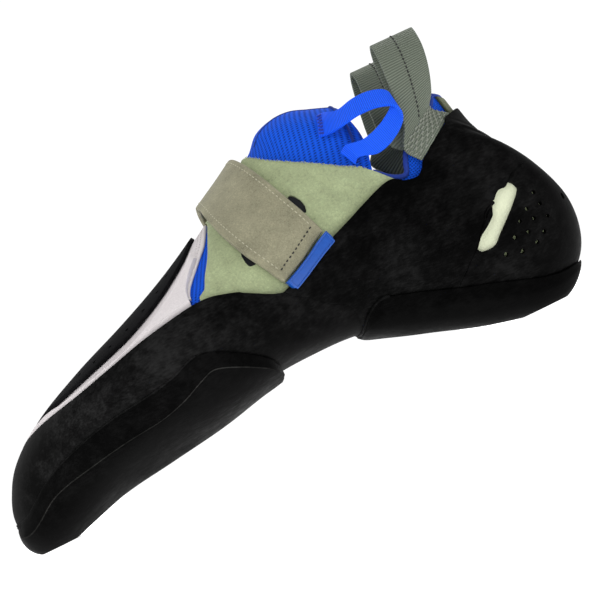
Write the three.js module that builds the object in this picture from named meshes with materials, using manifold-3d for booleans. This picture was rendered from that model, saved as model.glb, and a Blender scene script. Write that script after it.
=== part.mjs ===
// A left climbing shoe, empty and standing on its sole.
// Millimetres, +Z up, toe towards -X, outer (little toe) side towards -Y.
// Every piece follows one last surface, point(section, around): section counts along the foot from
// the toe tip, around runs from 0 under the foot to 1 on top, negative on the outer side.
import * as THREE from 'three';
import { mergeVertices } from 'three/addons/utils/BufferGeometryUtils.js';
import loadManifold from 'manifold-3d';

const wasm = await loadManifold();
wasm.setup();

// Rows of plain numbers as rows with named columns.
function named(columns, rows) {
  return rows.map((row) => Object.fromEntries(columns.map((name, i) => [name, row[i]])));
}

// Driving dimensions of the last.
const LAST_LENGTH = 245;
const BALL_WIDTH = 76.5;
const HEEL_WIDTH = 55;
const INSTEP_HEIGHT = 109;
const HEEL_HEIGHT = 88.8;

// Walls and clearances, from the foot outwards.
const INSOLE_WALL = 1.5;
const TONGUE_WALL = 1.6;
const UPPER_WALL = 2;
const RAND_WALL = 1.8;
const FOREFOOT_SOLE = 4;
const HEEL_SOLE = 3.4;
const CLEARANCE = 0.3;
const TOE_FLAT_DEPTH = 0.9;
const HEEL_FLAT_DEPTH = 1;
const FEATHER_EDGE = 0.5;

// Strap, its end tab and the ribbon loops.
const STRAP_THICKNESS = 2.4;
const TAB_THICKNESS = 2.6;
const DOME_RISE = 1.8;
const DOME_START = [9.2, 10.2];
const DOME_MARGIN = 0.06;
const DOME_RAMP = 0.16;
const HEEL_LOOP_WIDTH = 17.8;
const HEEL_LOOP_HEIGHT = 34.5;
const TONGUE_LOOP_WIDTH = 7.8;
const TONGUE_LOOP_REACH = 27;
const RIBBON_THICKNESS = 1.2;
const HEEL_LOOP_SECTION = 15;
const HEEL_LOOP_LIFT = 1.6;

// Offsets of each layer's faces from the last.
const RAND_INNER = UPPER_WALL + CLEARANCE;
const RAND_OUTER = RAND_INNER + RAND_WALL;
const SOLE_INNER = RAND_OUTER + CLEARANCE;
const TOE_LIFT = SOLE_INNER + FOREFOOT_SOLE - TOE_FLAT_DEPTH;
const HEEL_LIFT = SOLE_INNER + HEEL_SOLE - HEEL_FLAT_DEPTH;
// The clearance between two pieces that meet edge to edge: in sections, and around the heel.
const END_GAP = CLEARANCE / (LAST_LENGTH / 13);
const CUP_GAP = CLEARANCE / (1.8 * HEEL_WIDTH);

// Sections of the last, toe to collar. Each is a closed oval in the plane through a bottom point and
// a top point. x: shares of LAST_LENGTH. z: shares of the height above the flat spot. keel, lateral
// and medial: shares of the width. widest: share of the oval's height. low and high: how square the
// lower and upper halves are. roll: degrees that the oval turns about the foot.
const SECTION_COLUMNS = [
  'bottomX', 'bottomZ', 'topX', 'topZ', 'keel', 'lateral', 'medial', 'widest', 'low', 'high', 'roll',
];
const FOREFOOT_SECTIONS = named(SECTION_COLUMNS, [
  [0.022, 0.073, 0.022, 0.073, 0.170, 0, 0, 0.45, 2.2, 2.0, 6],
  [0.031, 0.010, 0.032, 0.152, 0.170, 0.144, 0.137, 0.45, 2.3, 2.0, 7],
  [0.055, 0.000, 0.057, 0.241, 0.157, 0.261, 0.222, 0.45, 2.5, 2.0, 9],
  [0.102, 0.039, 0.112, 0.340, 0.131, 0.379, 0.301, 0.45, 2.7, 2.0, 11],
  [0.176, 0.093, 0.188, 0.419, 0.105, 0.510, 0.366, 0.45, 2.8, 2.0, 12],
  [0.261, 0.123, 0.278, 0.503, 0.078, 0.582, 0.418, 0.44, 2.8, 2.0, 12],
  [0.351, 0.147, 0.367, 0.607, 0.052, 0.569, 0.418, 0.43, 2.7, 2.0, 10],
  [0.437, 0.182, 0.449, 0.721, 0.026, 0.503, 0.379, 0.42, 2.6, 2.0, 7],
  [0.522, 0.192, 0.516, 0.830, 0.007, 0.431, 0.353, 0.41, 2.5, 2.0, 4],
]);
const REAR_SECTIONS = named(SECTION_COLUMNS, [
  [0.612, 0.231, 0.563, 0.919, 0, 0.545, 0.491, 0.40, 2.4, 2.1, 2],
  [0.710, 0.145, 0.596, 0.973, 0, 0.518, 0.500, 0.38, 2.4, 2.2, 0],
  [0.816, 0.042, 0.624, 0.998, 0, 0.509, 0.509, 0.34, 2.5, 2.3, 0],
  [0.906, 0.000, 0.653, 0.998, 0, 0.500, 0.500, 0.32, 2.4, 2.4, 0],
  [0.963, 0.096, 0.678, 0.978, 0, 0.491, 0.491, 0.31, 2.2, 2.4, 0],
  [0.982, 0.286, 0.700, 0.958, 0, 0.482, 0.482, 0.33, 2.0, 2.4, 0],
  [0.961, 0.481, 0.720, 0.939, 0, 0.473, 0.473, 0.36, 2.0, 2.3, 0],
  [0.924, 0.640, 0.739, 0.919, 0, 0.445, 0.445, 0.42, 2.0, 2.2, 0],
  [0.896, 0.792, 0.755, 0.904, 0, 0.409, 0.409, 0.48, 2.1, 2.1, 0],
  [0.880, 1.000, 0.769, 0.889, 0, 0.364, 0.364, 0.50, 2.2, 2.0, 0],
]);
const LAST_SECTION = FOREFOOT_SECTIONS.length + REAR_SECTIONS.length - 1;

// One lattice for every layer of the last, so that facing walls keep their clearance all over.
const LATTICE_SECTIONS = [0, 0.4, 1, 1.75, 2.5, 3.5, 4.5, 5.5, 6.5, 7.5, 8.5, 9.5, 10.5, 11.5, 12.5, 13.5,
  14.5, 15.75, 17, 18];
const LATTICE_AROUND = 24;
const INSOLE_COLUMNS = 5;

// Facets across the blocks that cut the walls, across the strap, and along the ribbons.
const SLOT_FACETS = 3;
const SEAM_FACETS = 6;
const OPENING_FACETS = 10;
const PANEL_FACETS = 12;
const CUP_FACETS = 16;
const REAR_FACETS = 24;
const STRAP_FACETS = 5;
const HEEL_LOOP_STEPS = 26;
const TONGUE_LOOP_STEPS = 24;

// Borders, as {section, around} unless said otherwise; both sides of the shoe share them.
const RAND_TOP = [
  { section: 2.3, around: 0.96 }, { section: 2.7, around: 0.80 }, { section: 3.2, around: 0.69 },
  { section: 3.8, around: 0.605 }, { section: 4.4, around: 0.572 }, { section: 5.2, around: 0.565 },
  { section: 6.0, around: 0.560 }, { section: 6.35, around: 0.548 }, { section: 6.7, around: 0.520 },
  { section: 7.1, around: 0.485 }, { section: 7.7, around: 0.430 }, { section: 8.5, around: 0.430 },
  { section: 10.1, around: 0.430 },
];
const PATCH_EDGE = [
  { section: 2.45, around: 0.985 }, { section: 2.7, around: 0.90 }, { section: 3.0, around: 0.832 },
  { section: 3.5, around: 0.708 }, { section: 4.0, around: 0.644 }, { section: 4.5, around: 0.618 },
  { section: 5.0, around: 0.621 }, { section: 5.5, around: 0.658 }, { section: 6.0, around: 0.714 },
  { section: 6.5, around: 0.79 }, { section: 6.85, around: 0.90 }, { section: 6.95, around: 0.985 },
];
const THROAT_EDGE = [
  { section: 7.2, around: 0.93 }, { section: 7.5, around: 0.90 }, { section: 8.4, around: 0.905 },
  { section: 8.9, around: 0.915 }, { section: 9.1, around: 0.845 }, { section: 9.35, around: 0.780 },
  { section: 9.8, around: 0.730 }, { section: 10.3, around: 0.695 }, { section: 10.8, around: 0.667 },
  { section: 11.3, around: 0.646 }, { section: 11.6, around: 0.616 }, { section: 12.0, around: 0.608 },
  { section: 12.5, around: 0.630 }, { section: 13.0, around: 0.644 }, { section: 14.0, around: 0.642 },
  { section: 15.0, around: 0.612 }, { section: 16.0, around: 0.565 }, { section: 16.75, around: 0.520 },
  { section: 17.4, around: 0.440 }, { section: 18.0, around: 0.330 }, { section: 18.6, around: 0.200 },
];
const REAR_RUBBER_EDGE = [
  { section: 7.2, around: 0.40 }, { section: 7.73, around: 0.427 }, { section: 8.5, around: 0.470 },
  { section: 9.3, around: 0.512 }, { section: 9.85, around: 0.541 }, { section: 10.8, around: 0.589 },
  { section: 11.45, around: 0.606 }, { section: 11.7, around: 0.596 }, { section: 12.1, around: 0.594 },
  { section: 12.5, around: 0.603 }, { section: 13.0, around: 0.613 }, { section: 14.0, around: 0.602 },
  { section: 15.0, around: 0.568 }, { section: 16.0, around: 0.505 }, { section: 16.6, around: 0.445 },
  { section: 17.2, around: 0.340 }, { section: 17.5, around: 0.22 }, { section: 17.6, around: 0.04 },
];
// The mesh shows between the vamp and the quarter in a crescent on each side.
const CRESCENT = [
  { section: 6.06, low: 0.578, high: 0.586 }, { section: 6.15, low: 0.575, high: 0.635 },
  { section: 6.3, low: 0.578, high: 0.678 }, { section: 6.6, low: 0.652, high: 0.735 },
  { section: 6.9, low: 0.745, high: 0.800 }, { section: 7.2, low: 0.870, high: 0.940 },
  { section: 7.4, low: 0.890, high: 0.990 },
];
const STRAP_SLOT = [
  { section: 7.32, low: 0.575, high: 0.602 }, { section: 7.40, low: 0.552, high: 0.618 },
  { section: 7.8, low: 0.552, high: 0.618 }, { section: 8.4, low: 0.568, high: 0.632 },
  { section: 8.95, low: 0.590, high: 0.650 }, { section: 9.10, low: 0.588, high: 0.645 },
  { section: 9.19, low: 0.605, high: 0.625 },
];
const HEEL_SLOT = [
  { section: 11.32, low: 0.420, high: 0.432 }, { section: 11.45, low: 0.411, high: 0.450 },
  { section: 11.8, low: 0.430, high: 0.495 }, { section: 12.3, low: 0.460, high: 0.512 },
  { section: 12.8, low: 0.466, high: 0.515 }, { section: 13.3, low: 0.456, high: 0.503 },
  { section: 13.58, low: 0.462, high: 0.478 },
];
const CUP_EDGE = [
  { section: 10.45, around: 0.18 }, { section: 10.62, around: 0.280 }, { section: 10.84, around: 0.339 },
  { section: 11.15, around: 0.398 }, { section: 11.85, around: 0.486 }, { section: 12.6, around: 0.506 },
  { section: 13.3, around: 0.492 }, { section: 13.85, around: 0.466 }, { section: 14.55, around: 0.352 },
  { section: 14.9, around: 0.20 }, { section: 15.0, around: 0.04 },
];
const TONGUE_EDGE = [
  { section: 5.7, around: 0.52 }, { section: 6.5, around: 0.51 }, { section: 7.5, around: 0.51 },
  { section: 8.5, around: 0.54 }, { section: 9.5, around: 0.56 }, { section: 10.5, around: 0.585 },
  { section: 11.2, around: 0.620 }, { section: 11.7, around: 0.66 }, { section: 12.3, around: 0.70 },
  { section: 13.0, around: 0.75 }, { section: 13.6, around: 0.80 }, { section: 14.2, around: 0.86 },
  { section: 14.7, around: 0.93 }, { section: 15.0, around: 0.985 },
];
const INSOLE_EDGE = [
  { section: 0.9, around: 0.18 }, { section: 1.4, around: 0.30 }, { section: 2.2, around: 0.345 },
  { section: 3.5, around: 0.36 }, { section: 5.5, around: 0.345 }, { section: 7.5, around: 0.33 },
  { section: 9.5, around: 0.33 }, { section: 11.0, around: 0.32 }, { section: 12.1, around: 0.25 },
  { section: 12.7, around: 0.08 },
];
const FOREFOOT_OPENING = [
  { section: 1.3, around: 0.10 }, { section: 1.8, around: 0.24 }, { section: 3, around: 0.27 },
  { section: 5, around: 0.27 }, { section: 6.3, around: 0.24 }, { section: 6.8, around: 0.14 },
  { section: 6.95, around: 0.04 },
];
const HEEL_OPENING = [
  { section: 9.4, around: 0.06 }, { section: 9.7, around: 0.18 }, { section: 10.8, around: 0.22 },
  { section: 11.8, around: 0.18 }, { section: 12.3, around: 0.05 },
];
// Where the front rubber ends, as the section it reaches at each place around.
const FRONT_RUBBER_END = [
  { around: -0.60, section: 7.45 }, { around: -0.43, section: 7.72 }, { around: -0.365, section: 8.14 },
  { around: -0.30, section: 8.48 }, { around: -0.262, section: 8.78 }, { around: -0.15, section: 8.92 },
  { around: 0, section: 8.95 },
  { around: 0.15, section: 8.92 }, { around: 0.262, section: 8.78 }, { around: 0.30, section: 8.48 },
  { around: 0.365, section: 8.14 }, { around: 0.43, section: 7.72 }, { around: 0.60, section: 7.45 },
];
// The lattice lines that the front and the rear rubber are cut from.
const FRONT_LATTICE = [0, 9.5];
const REAR_LATTICE = [6.5, LAST_SECTION];

// The forefoot sole: its corner and the top of its side wall on each side, and its depth below the
// rubber as a share of FOREFOOT_SOLE.
const FOREFOOT_SOLE_ROWS = [
  { section: 0.3, lateral: 0.12, lateralTop: 0.40, medial: 0.12, medialTop: 0.40, depth: 0.15 },
  { section: 0.65, lateral: 0.22, lateralTop: 0.41, medial: 0.22, medialTop: 0.40, depth: 0.55 },
  { section: 1.05, lateral: 0.28, lateralTop: 0.42, medial: 0.28, medialTop: 0.41, depth: 0.90 },
  { section: 1.5, lateral: 0.305, lateralTop: 0.42, medial: 0.31, medialTop: 0.41, depth: 1 },
  { section: 2.4, lateral: 0.355, lateralTop: 0.44, medial: 0.33, medialTop: 0.42, depth: 1 },
  { section: 3.0, lateral: 0.347, lateralTop: 0.43, medial: 0.33, medialTop: 0.42, depth: 1 },
  { section: 3.6, lateral: 0.317, lateralTop: 0.41, medial: 0.32, medialTop: 0.41, depth: 1 },
  { section: 4.2, lateral: 0.286, lateralTop: 0.39, medial: 0.31, medialTop: 0.40, depth: 1 },
  { section: 4.85, lateral: 0.262, lateralTop: 0.37, medial: 0.30, medialTop: 0.39, depth: 1 },
  { section: 5.3, lateral: 0.280, lateralTop: 0.375, medial: 0.29, medialTop: 0.38, depth: 1 },
  { section: 5.7, lateral: 0.323, lateralTop: 0.40, medial: 0.28, medialTop: 0.37, depth: 1 },
  { section: 6.0, lateral: 0.332, lateralTop: 0.39, medial: 0.27, medialTop: 0.36, depth: 1 },
  { section: 6.5, lateral: 0.262, lateralTop: 0.31, medial: 0.25, medialTop: 0.32, depth: 1 },
  { section: 7.05, lateral: 0.158, lateralTop: 0.19, medial: 0.18, medialTop: 0.22, depth: 0.95 },
  { section: 7.3, lateral: 0.06, lateralTop: 0.075, medial: 0.07, medialTop: 0.085, depth: 0.88 },
];
// The heel sole: its edge, and its depth as a share of HEEL_SOLE.
const HEEL_SOLE_ROWS = [
  { section: 8.98, around: 0.10, depth: 0.62 }, { section: 9.1, around: 0.19, depth: 0.85 },
  { section: 9.4, around: 0.262, depth: 0.95 }, { section: 9.9, around: 0.275, depth: 1 },
  { section: 10.6, around: 0.281, depth: 1 }, { section: 11.05, around: 0.282, depth: 1 },
  { section: 11.45, around: 0.268, depth: 1 }, { section: 11.8, around: 0.244, depth: 1 },
  { section: 12.2, around: 0.20, depth: 1 }, { section: 12.6, around: 0.14, depth: 0.75 },
  { section: 12.85, around: 0.06, depth: 0.45 },
];

// The strap, from its loose end on the outer side over the instep to its sewn end: front and rear
// edges, and how far each edge stands off what it lies on, in thicknesses of the band.
const STRAP_ROWS = [
  { frontSection: 7.80, frontAround: -0.459, rearSection: 9.09, rearAround: -0.525, front: 0.38, rear: 0.38 },
  { frontSection: 7.57, frontAround: -0.520, rearSection: 8.99, rearAround: -0.585, front: 0.38, rear: 0.38 },
  { frontSection: 7.34, frontAround: -0.600, rearSection: 8.87, rearAround: -0.660, front: 0.38, rear: 0.38 },
  { frontSection: 7.22, frontAround: -0.700, rearSection: 8.80, rearAround: -0.750, front: 0.5, rear: 0.38 },
  { frontSection: 7.24, frontAround: -0.800, rearSection: 8.78, rearAround: -0.840, front: 0.84, rear: 0.38 },
  { frontSection: 7.36, frontAround: -0.900, rearSection: 8.79, rearAround: -0.920, front: 1.4, rear: 0.42 },
  { frontSection: 7.45, frontAround: -1.000, rearSection: 8.80, rearAround: -1.000, front: 1.6, rear: 0.42 },
  { frontSection: 7.46, frontAround: -1.100, rearSection: 8.80, rearAround: -1.090, front: 1.33, rear: 0.33 },
  { frontSection: 7.47, frontAround: -1.200, rearSection: 8.82, rearAround: -1.180, front: 0.67, rear: 0.38 },
  { frontSection: 7.50, frontAround: -1.300, rearSection: 8.86, rearAround: -1.270, front: 0.38, rear: 0.38 },
  { frontSection: 7.54, frontAround: -1.400, rearSection: 8.90, rearAround: -1.360, front: 0.38, rear: 0.38 },
  { frontSection: 7.57, frontAround: -1.460, rearSection: 8.92, rearAround: -1.420, front: 0.38, rear: 0.38 },
];
const TAB_ROWS = [
  { frontSection: 7.81, frontAround: -0.455, rearSection: 9.10, rearAround: -0.521, front: 0.04, rear: 0.04 },
  { frontSection: 7.86, frontAround: -0.436, rearSection: 9.13, rearAround: -0.508, front: 0.04, rear: 0.04 },
  { frontSection: 7.91, frontAround: -0.418, rearSection: 9.15, rearAround: -0.496, front: 0.04, rear: 0.04 },
];

// A heel loop's sewn rows, as shares of a turn above a border: two outside the collar, above the
// rubber and above the throat; three inside it, with how far each stands off the collar.
const HEEL_LOOP_ROOT = 0.012;
const HEEL_LOOP_RIM = 0.004;
const HEEL_LOOP_INSIDE = [
  { above: 0.035, gap: 2.2, back: 0.3 }, { above: -0.01, gap: 1.2, back: 0.35 },
  { above: -0.065, gap: 0.8, back: 0.4 },
];
// Its free run, as shares of its height: up from the collar, in towards the foot, forward. It turns
// from the collar's slope to level over the first part of its rise.
const HEEL_LOOP_LEVEL = 0.7;
const HEEL_LOOP_ROWS = [
  { up: 0.16, inward: -0.03, forward: -0.04 }, { up: 0.45, inward: -0.05, forward: -0.10 },
  { up: 0.75, inward: -0.01, forward: -0.15 }, { up: 0.93, inward: 0.07, forward: -0.17 },
  { up: 1.0, inward: 0.16, forward: -0.18 }, { up: 0.95, inward: 0.25, forward: -0.18 },
  { up: 0.80, inward: 0.30, forward: -0.17 }, { up: 0.55, inward: 0.29, forward: -0.15 },
  { up: 0.32, inward: 0.23, forward: -0.12 },
];
// The tongue loop's sewn rows, two for each end, each from one side of the ribbon to the other.
const TONGUE_LOOP_SEAMS = named(['section', 'around', 'toSection', 'toAround'], [
  [12.20, 0.832, 11.30, 0.762], [12.75, 0.839, 11.60, 0.758],
  [11.60, 0.712, 11.48, 0.674], [11.25, 0.700, 11.20, 0.662],
]);
// Its free run, as shares of its reach: back, out from the foot, up.
const TONGUE_LOOP_ROWS = [
  { back: 0.16, out: 0.20, up: -0.06 }, { back: 0.39, out: 0.36, up: -0.03 },
  { back: 0.65, out: 0.45, up: -0.05 }, { back: 0.85, out: 0.50, up: -0.15 },
  { back: 0.85, out: 0.52, up: -0.33 }, { back: 0.64, out: 0.50, up: -0.51 },
  { back: 0.34, out: 0.38, up: -0.61 },
];

// A smooth curve through a table's rows; every column is carried along.
function spline(rows, at) {
  const last = rows.length - 1;
  const index = Math.min(Math.max(Math.floor(at), 0), last - 1);
  const t = at - index;
  const row = (i) => rows[Math.min(Math.max(i, 0), last)];
  const result = {};
  for (const key of Object.keys(rows[0])) {
    const p1 = row(index)[key];
    const p2 = row(index + 1)[key];
    const p0 = index > 0 ? row(index - 1)[key] : 2 * p1 - p2;
    const p3 = index + 2 <= last ? row(index + 2)[key] : 2 * p2 - p1;
    const linear = (p2 - p0) * t;
    const square = (2 * p0 - 5 * p1 + 4 * p2 - p3) * t ** 2;
    const cube = (3 * p1 - p0 - 3 * p2 + p3) * t ** 3;
    result[key] = 0.5 * (2 * p1 + linear + square + cube);
  }
  return result;
}

// Rows of a border, with smooth steps between those of the table.
function smoothRows(rows, steps) {
  const result = [];
  const count = (rows.length - 1) * steps;
  for (let i = 0; i <= count; i += 1) {
    result.push(spline(rows, i / steps));
  }
  return result;
}

// The last's sections in millimetres, with a mirrored row before the tip so that the toe is round.
function lastSections() {
  const size = (row, width, lift, bottomHeight) => ({
    bottomX: row.bottomX * LAST_LENGTH,
    bottomZ: lift + row.bottomZ * (bottomHeight - lift),
    topX: row.topX * LAST_LENGTH,
    topZ: TOE_LIFT + row.topZ * (INSTEP_HEIGHT - TOE_LIFT),
    keel: row.keel * width,
    lateral: row.lateral * width,
    medial: row.medial * width,
    widest: row.widest,
    low: row.low,
    high: row.high,
    roll: THREE.MathUtils.degToRad(row.roll),
  });
  const front = FOREFOOT_SECTIONS.map((row) => size(row, BALL_WIDTH, TOE_LIFT, INSTEP_HEIGHT));
  const rear = REAR_SECTIONS.map((row) => size(row, HEEL_WIDTH, HEEL_LIFT, HEEL_HEIGHT));
  const sections = [...front, ...rear];
  const [, first] = sections;
  const ghost = {
    ...first,
    bottomX: first.topX,
    bottomZ: first.topZ,
    topX: first.bottomX,
    topZ: first.bottomZ,
    lateral: -first.lateral,
    medial: -first.medial,
  };
  return [ghost, ...sections];
}
const SECTIONS = lastSections();

// A point of the last.
function lastPoint(section, around) {
  const oval = spline(SECTIONS, section + 1);
  let turn = around;
  if (turn > 1) turn -= 2;
  if (turn < -1) turn += 2;
  const angle = Math.abs(turn) * Math.PI;
  const lower = angle <= Math.PI / 2;
  const power = 2 / (lower ? oval.low : oval.high);
  const side = Math.abs(Math.sin(angle)) ** power;
  const level = Math.abs(Math.cos(angle)) ** power;
  const height = Math.hypot(oval.topX - oval.bottomX, oval.topZ - oval.bottomZ);
  const width = turn < 0 ? -oval.lateral : oval.medial;
  const rise = (lower ? -oval.widest * level : (1 - oval.widest) * level) * height;
  const y = width * side * Math.cos(oval.roll) + rise * Math.sin(oval.roll);
  const up = rise * Math.cos(oval.roll) - width * side * Math.sin(oval.roll);
  const share = height > 1e-6 ? up / height + oval.widest : 0;
  return new THREE.Vector3(
    oval.bottomX + (oval.topX - oval.bottomX) * share,
    oval.keel + y,
    oval.bottomZ + (oval.topZ - oval.bottomZ) * share,
  );
}

// The last's outward direction there.
function lastNormal(section, around) {
  const step = 0.02;
  const along = lastPoint(section + step, around).sub(lastPoint(Math.max(section - step, 0), around));
  const across = lastPoint(section, around + step / 2).sub(lastPoint(section, around - step / 2));
  const normal = across.cross(along);
  return normal.length() > 1e-9 ? normal.normalize() : new THREE.Vector3(-1, 0, 0);
}

// A point at a distance from the last, outwards.
function skin(section, around, offset) {
  return lastPoint(section, around).addScaledVector(lastNormal(section, around), offset);
}

// A solid from loose triangles, with shared vertices merged, slivers left out and the
// faces turned outwards.
function solidFrom(corners) {
  const loose = new THREE.BufferGeometry();
  const numbers = corners.flatMap((p) => [p.x, p.y, p.z]);
  loose.setAttribute('position', new THREE.Float32BufferAttribute(numbers, 3));
  const merged = mergeVertices(loose, 1e-4);
  const { array } = merged.index;
  let volume = 0;
  for (let i = 0; i < corners.length; i += 3) {
    volume += corners[i].dot(new THREE.Vector3().crossVectors(corners[i + 1], corners[i + 2]));
  }
  const triangles = [];
  for (let i = 0; i < array.length; i += 3) {
    const [a, b, c] = [array[i], array[i + 1], array[i + 2]];
    if (a !== b && b !== c && c !== a) triangles.push(a, ...(volume > 0 ? [b, c] : [c, b]));
  }
  return new wasm.Manifold(new wasm.Mesh({
    numProp: 3,
    vertProperties: new Float32Array(merged.attributes.position.array),
    triVerts: new Uint32Array(triangles),
  }));
}

// The closed solid between two grids of points, an inner and an outer face. Where the grid closes
// around, its first and last columns are the same and need no wall between them.
function thickSheet(inner, outer, closedAround = false) {
  const corners = [];
  const quad = (a, b, c, d) => corners.push(a, b, c, a, c, d);
  const rows = inner.length - 1;
  const columns = inner[0].length - 1;
  for (let i = 0; i < rows; i += 1) {
    for (let j = 0; j < columns; j += 1) {
      quad(outer[i][j], outer[i][j + 1], outer[i + 1][j + 1], outer[i + 1][j]);
      quad(inner[i][j], inner[i + 1][j], inner[i + 1][j + 1], inner[i][j + 1]);
    }
  }
  for (let j = 0; j < columns; j += 1) {
    quad(outer[0][j + 1], outer[0][j], inner[0][j], inner[0][j + 1]);
    quad(outer[rows][j], outer[rows][j + 1], inner[rows][j + 1], inner[rows][j]);
  }
  if (!closedAround) {
    for (let i = 0; i < rows; i += 1) {
      quad(outer[i][0], outer[i + 1][0], inner[i + 1][0], inner[i][0]);
      quad(outer[i][columns], inner[i][columns], inner[i + 1][columns], outer[i + 1][columns]);
    }
  }
  return solidFrom(corners);
}

// A solid through rings of points, each ring closed, with a fan over both ends.
function loft(rings) {
  const corners = [];
  const count = rings[0].length;
  for (let i = 0; i < rings.length - 1; i += 1) {
    for (let j = 0; j < count; j += 1) {
      const next = (j + 1) % count;
      corners.push(rings[i][j], rings[i][next], rings[i + 1][next]);
      corners.push(rings[i][j], rings[i + 1][next], rings[i + 1][j]);
    }
  }
  const cap = (ring, forward) => {
    const centre = ring.reduce((sum, p) => sum.add(p), new THREE.Vector3()).divideScalar(count);
    for (let j = 0; j < count; j += 1) {
      const next = (j + 1) % count;
      corners.push(centre, forward ? ring[j] : ring[next], forward ? ring[next] : ring[j]);
    }
  };
  cap(rings[0], false);
  cap(rings[rings.length - 1], true);
  return solidFrom(corners);
}

// The lattice of the last at an offset, which may change from place to place, over part of its length.
function lattice(offset, [first, last] = [0, LAST_SECTION]) {
  const at = typeof offset === 'function' ? offset : () => offset;
  const covered = LATTICE_SECTIONS.filter((section) => section >= first && section <= last);
  return covered.map((section) => {
    const ring = [];
    for (let j = 0; j <= LATTICE_AROUND; j += 1) {
      const around = -1 + (2 * j) / LATTICE_AROUND;
      ring.push(skin(section, around, at(section, around)));
    }
    return ring;
  });
}

// A point on the lattice's flat facets at an offset, for what has to lie against them.
function onLattice(section, around, offset) {
  const i = Math.max(LATTICE_SECTIONS.findIndex((line) => line > section), 1);
  const [first, second] = [LATTICE_SECTIONS[i - 1], LATTICE_SECTIONS[i]];
  const j = Math.floor((around * LATTICE_AROUND) / 2);
  const [low, high] = [(2 * j) / LATTICE_AROUND, (2 * (j + 1)) / LATTICE_AROUND];
  const share = (around - low) / (high - low);
  const across = (line) => skin(line, low, offset).lerp(skin(line, high, offset), share);
  return across(first).lerp(across(second), (section - first) / (second - first));
}

// A wall all round the foot between two offsets, open at the collar.
function layer(inner, outer, span) {
  return thickSheet(lattice(inner, span), lattice(outer, span), true);
}

// Everything within an offset of the last.
function core(offset) {
  const rings = lattice(offset).map((ring) => ring.slice(0, -1));
  return loft(rings);
}

// A block over part of the last: rows of pairs of places, and how far it reaches in and out.
function block(pairs, [inner, outer], across) {
  const face = (offset) => pairs.map(([from, to]) => {
    const row = [];
    for (let j = 0; j <= across; j += 1) {
      const t = j / across;
      row.push(skin(from[0] + (to[0] - from[0]) * t, from[1] + (to[1] - from[1]) * t, offset));
    }
    return row;
  });
  return thickSheet(face(inner), face(outer));
}

// Places from a border under the foot round to the other side, or over the top of the foot.
function below(rows, steps = 1) {
  return smoothRows(rows, steps).map((r) => [[r.section, -r.around], [r.section, r.around]]);
}
function above(rows, steps = 1) {
  return smoothRows(rows, steps).map((r) => [[r.section, r.around], [r.section, 2 - r.around]]);
}
function between(rows, side, steps = 1) {
  return smoothRows(rows, steps).map((r) => {
    const pair = [[r.section, side * r.low], [r.section, side * r.high]];
    return side > 0 ? pair : pair.reverse();
  });
}

// How far a cutting block reaches past the wall that it cuts.
const REACH = 3;
const UPPER_REACH = [-REACH, UPPER_WALL + REACH];
const RUBBER_REACH = [RAND_INNER - REACH, RAND_OUTER + REACH];
const TONGUE_REACH = [-8, 8];
// How far the front and rear cuts run past their lattice lines, in sections.
const SPARE_SECTIONS = 0.6;

// How far around a border lies at a section.
function edgeAt(rows, section) {
  const found = rows.findIndex((row) => row.section > section);
  const after = found < 0 ? rows.length - 1 : Math.max(found, 1);
  const [a, b] = [rows[after - 1], rows[after]];
  return a.around + (b.around - a.around) * ((section - a.section) / (b.section - a.section));
}

function makeUpper() {
  let upper = layer(0, UPPER_WALL);
  upper = upper.subtract(block(above(THROAT_EDGE), UPPER_REACH, OPENING_FACETS));
  for (const side of [-1, 1]) {
    upper = upper.subtract(block(between(CRESCENT, side), UPPER_REACH, SLOT_FACETS));
  }
  upper = upper.subtract(block(between(STRAP_SLOT, -1), UPPER_REACH, SLOT_FACETS));
  upper = upper.subtract(block(below(FOREFOOT_OPENING), UPPER_REACH, OPENING_FACETS));
  return upper.subtract(block(below(HEEL_OPENING), UPPER_REACH, OPENING_FACETS));
}

// The tongue lies under the upper and swells out where the throat leaves it free.
function makeTongue() {
  const swell = (section, around) => {
    const inside = (Math.abs(around) - edgeAt(THROAT_EDGE, section) - DOME_MARGIN) / DOME_RAMP;
    const ramp = THREE.MathUtils.smoothstep(section, ...DOME_START);
    return DOME_RISE * ramp * THREE.MathUtils.smoothstep(inside, 0, 1);
  };
  const outer = (section, around) => swell(section, around) - CLEARANCE;
  const inner = (section, around) => outer(section, around) - TONGUE_WALL;
  return layer(inner, outer).intersect(block(above(TONGUE_EDGE), TONGUE_REACH, OPENING_FACETS));
}

// The insole's facets follow the lattice, so that it lies evenly on the upper.
function makeInsole() {
  const ends = [INSOLE_EDGE[0].section, INSOLE_EDGE[INSOLE_EDGE.length - 1].section];
  const covered = LATTICE_SECTIONS.filter((section) => section > ends[0] && section < ends[1]);
  const face = (offset) => [ends[0], ...covered, ends[1]].map((section) => {
    const edge = edgeAt(INSOLE_EDGE, section);
    const row = [];
    for (let j = -INSOLE_COLUMNS; j <= INSOLE_COLUMNS; j += 1) {
      row.push(onLattice(section, THREE.MathUtils.clamp((2 * j) / LATTICE_AROUND, -edge, edge), offset));
    }
    return row;
  });
  return thickSheet(face(-CLEARANCE - INSOLE_WALL), face(-CLEARANCE));
}

// Places from the line where the front rubber ends back to a section behind it, or ahead of it.
function fromFrontEnd(move, section) {
  return FRONT_RUBBER_END.map((r) => [[r.section + move, r.around], [section, r.around]]);
}

function makeFrontRand() {
  const rubber = layer(RAND_INNER, RAND_OUTER, FRONT_LATTICE);
  const top = block(above(RAND_TOP), RUBBER_REACH, PANEL_FACETS);
  const ahead = fromFrontEnd(-END_GAP / 2, FRONT_LATTICE[1] + SPARE_SECTIONS);
  const rear = block(ahead, RUBBER_REACH, SEAM_FACETS);
  return rubber.subtract(top).subtract(rear);
}

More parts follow.
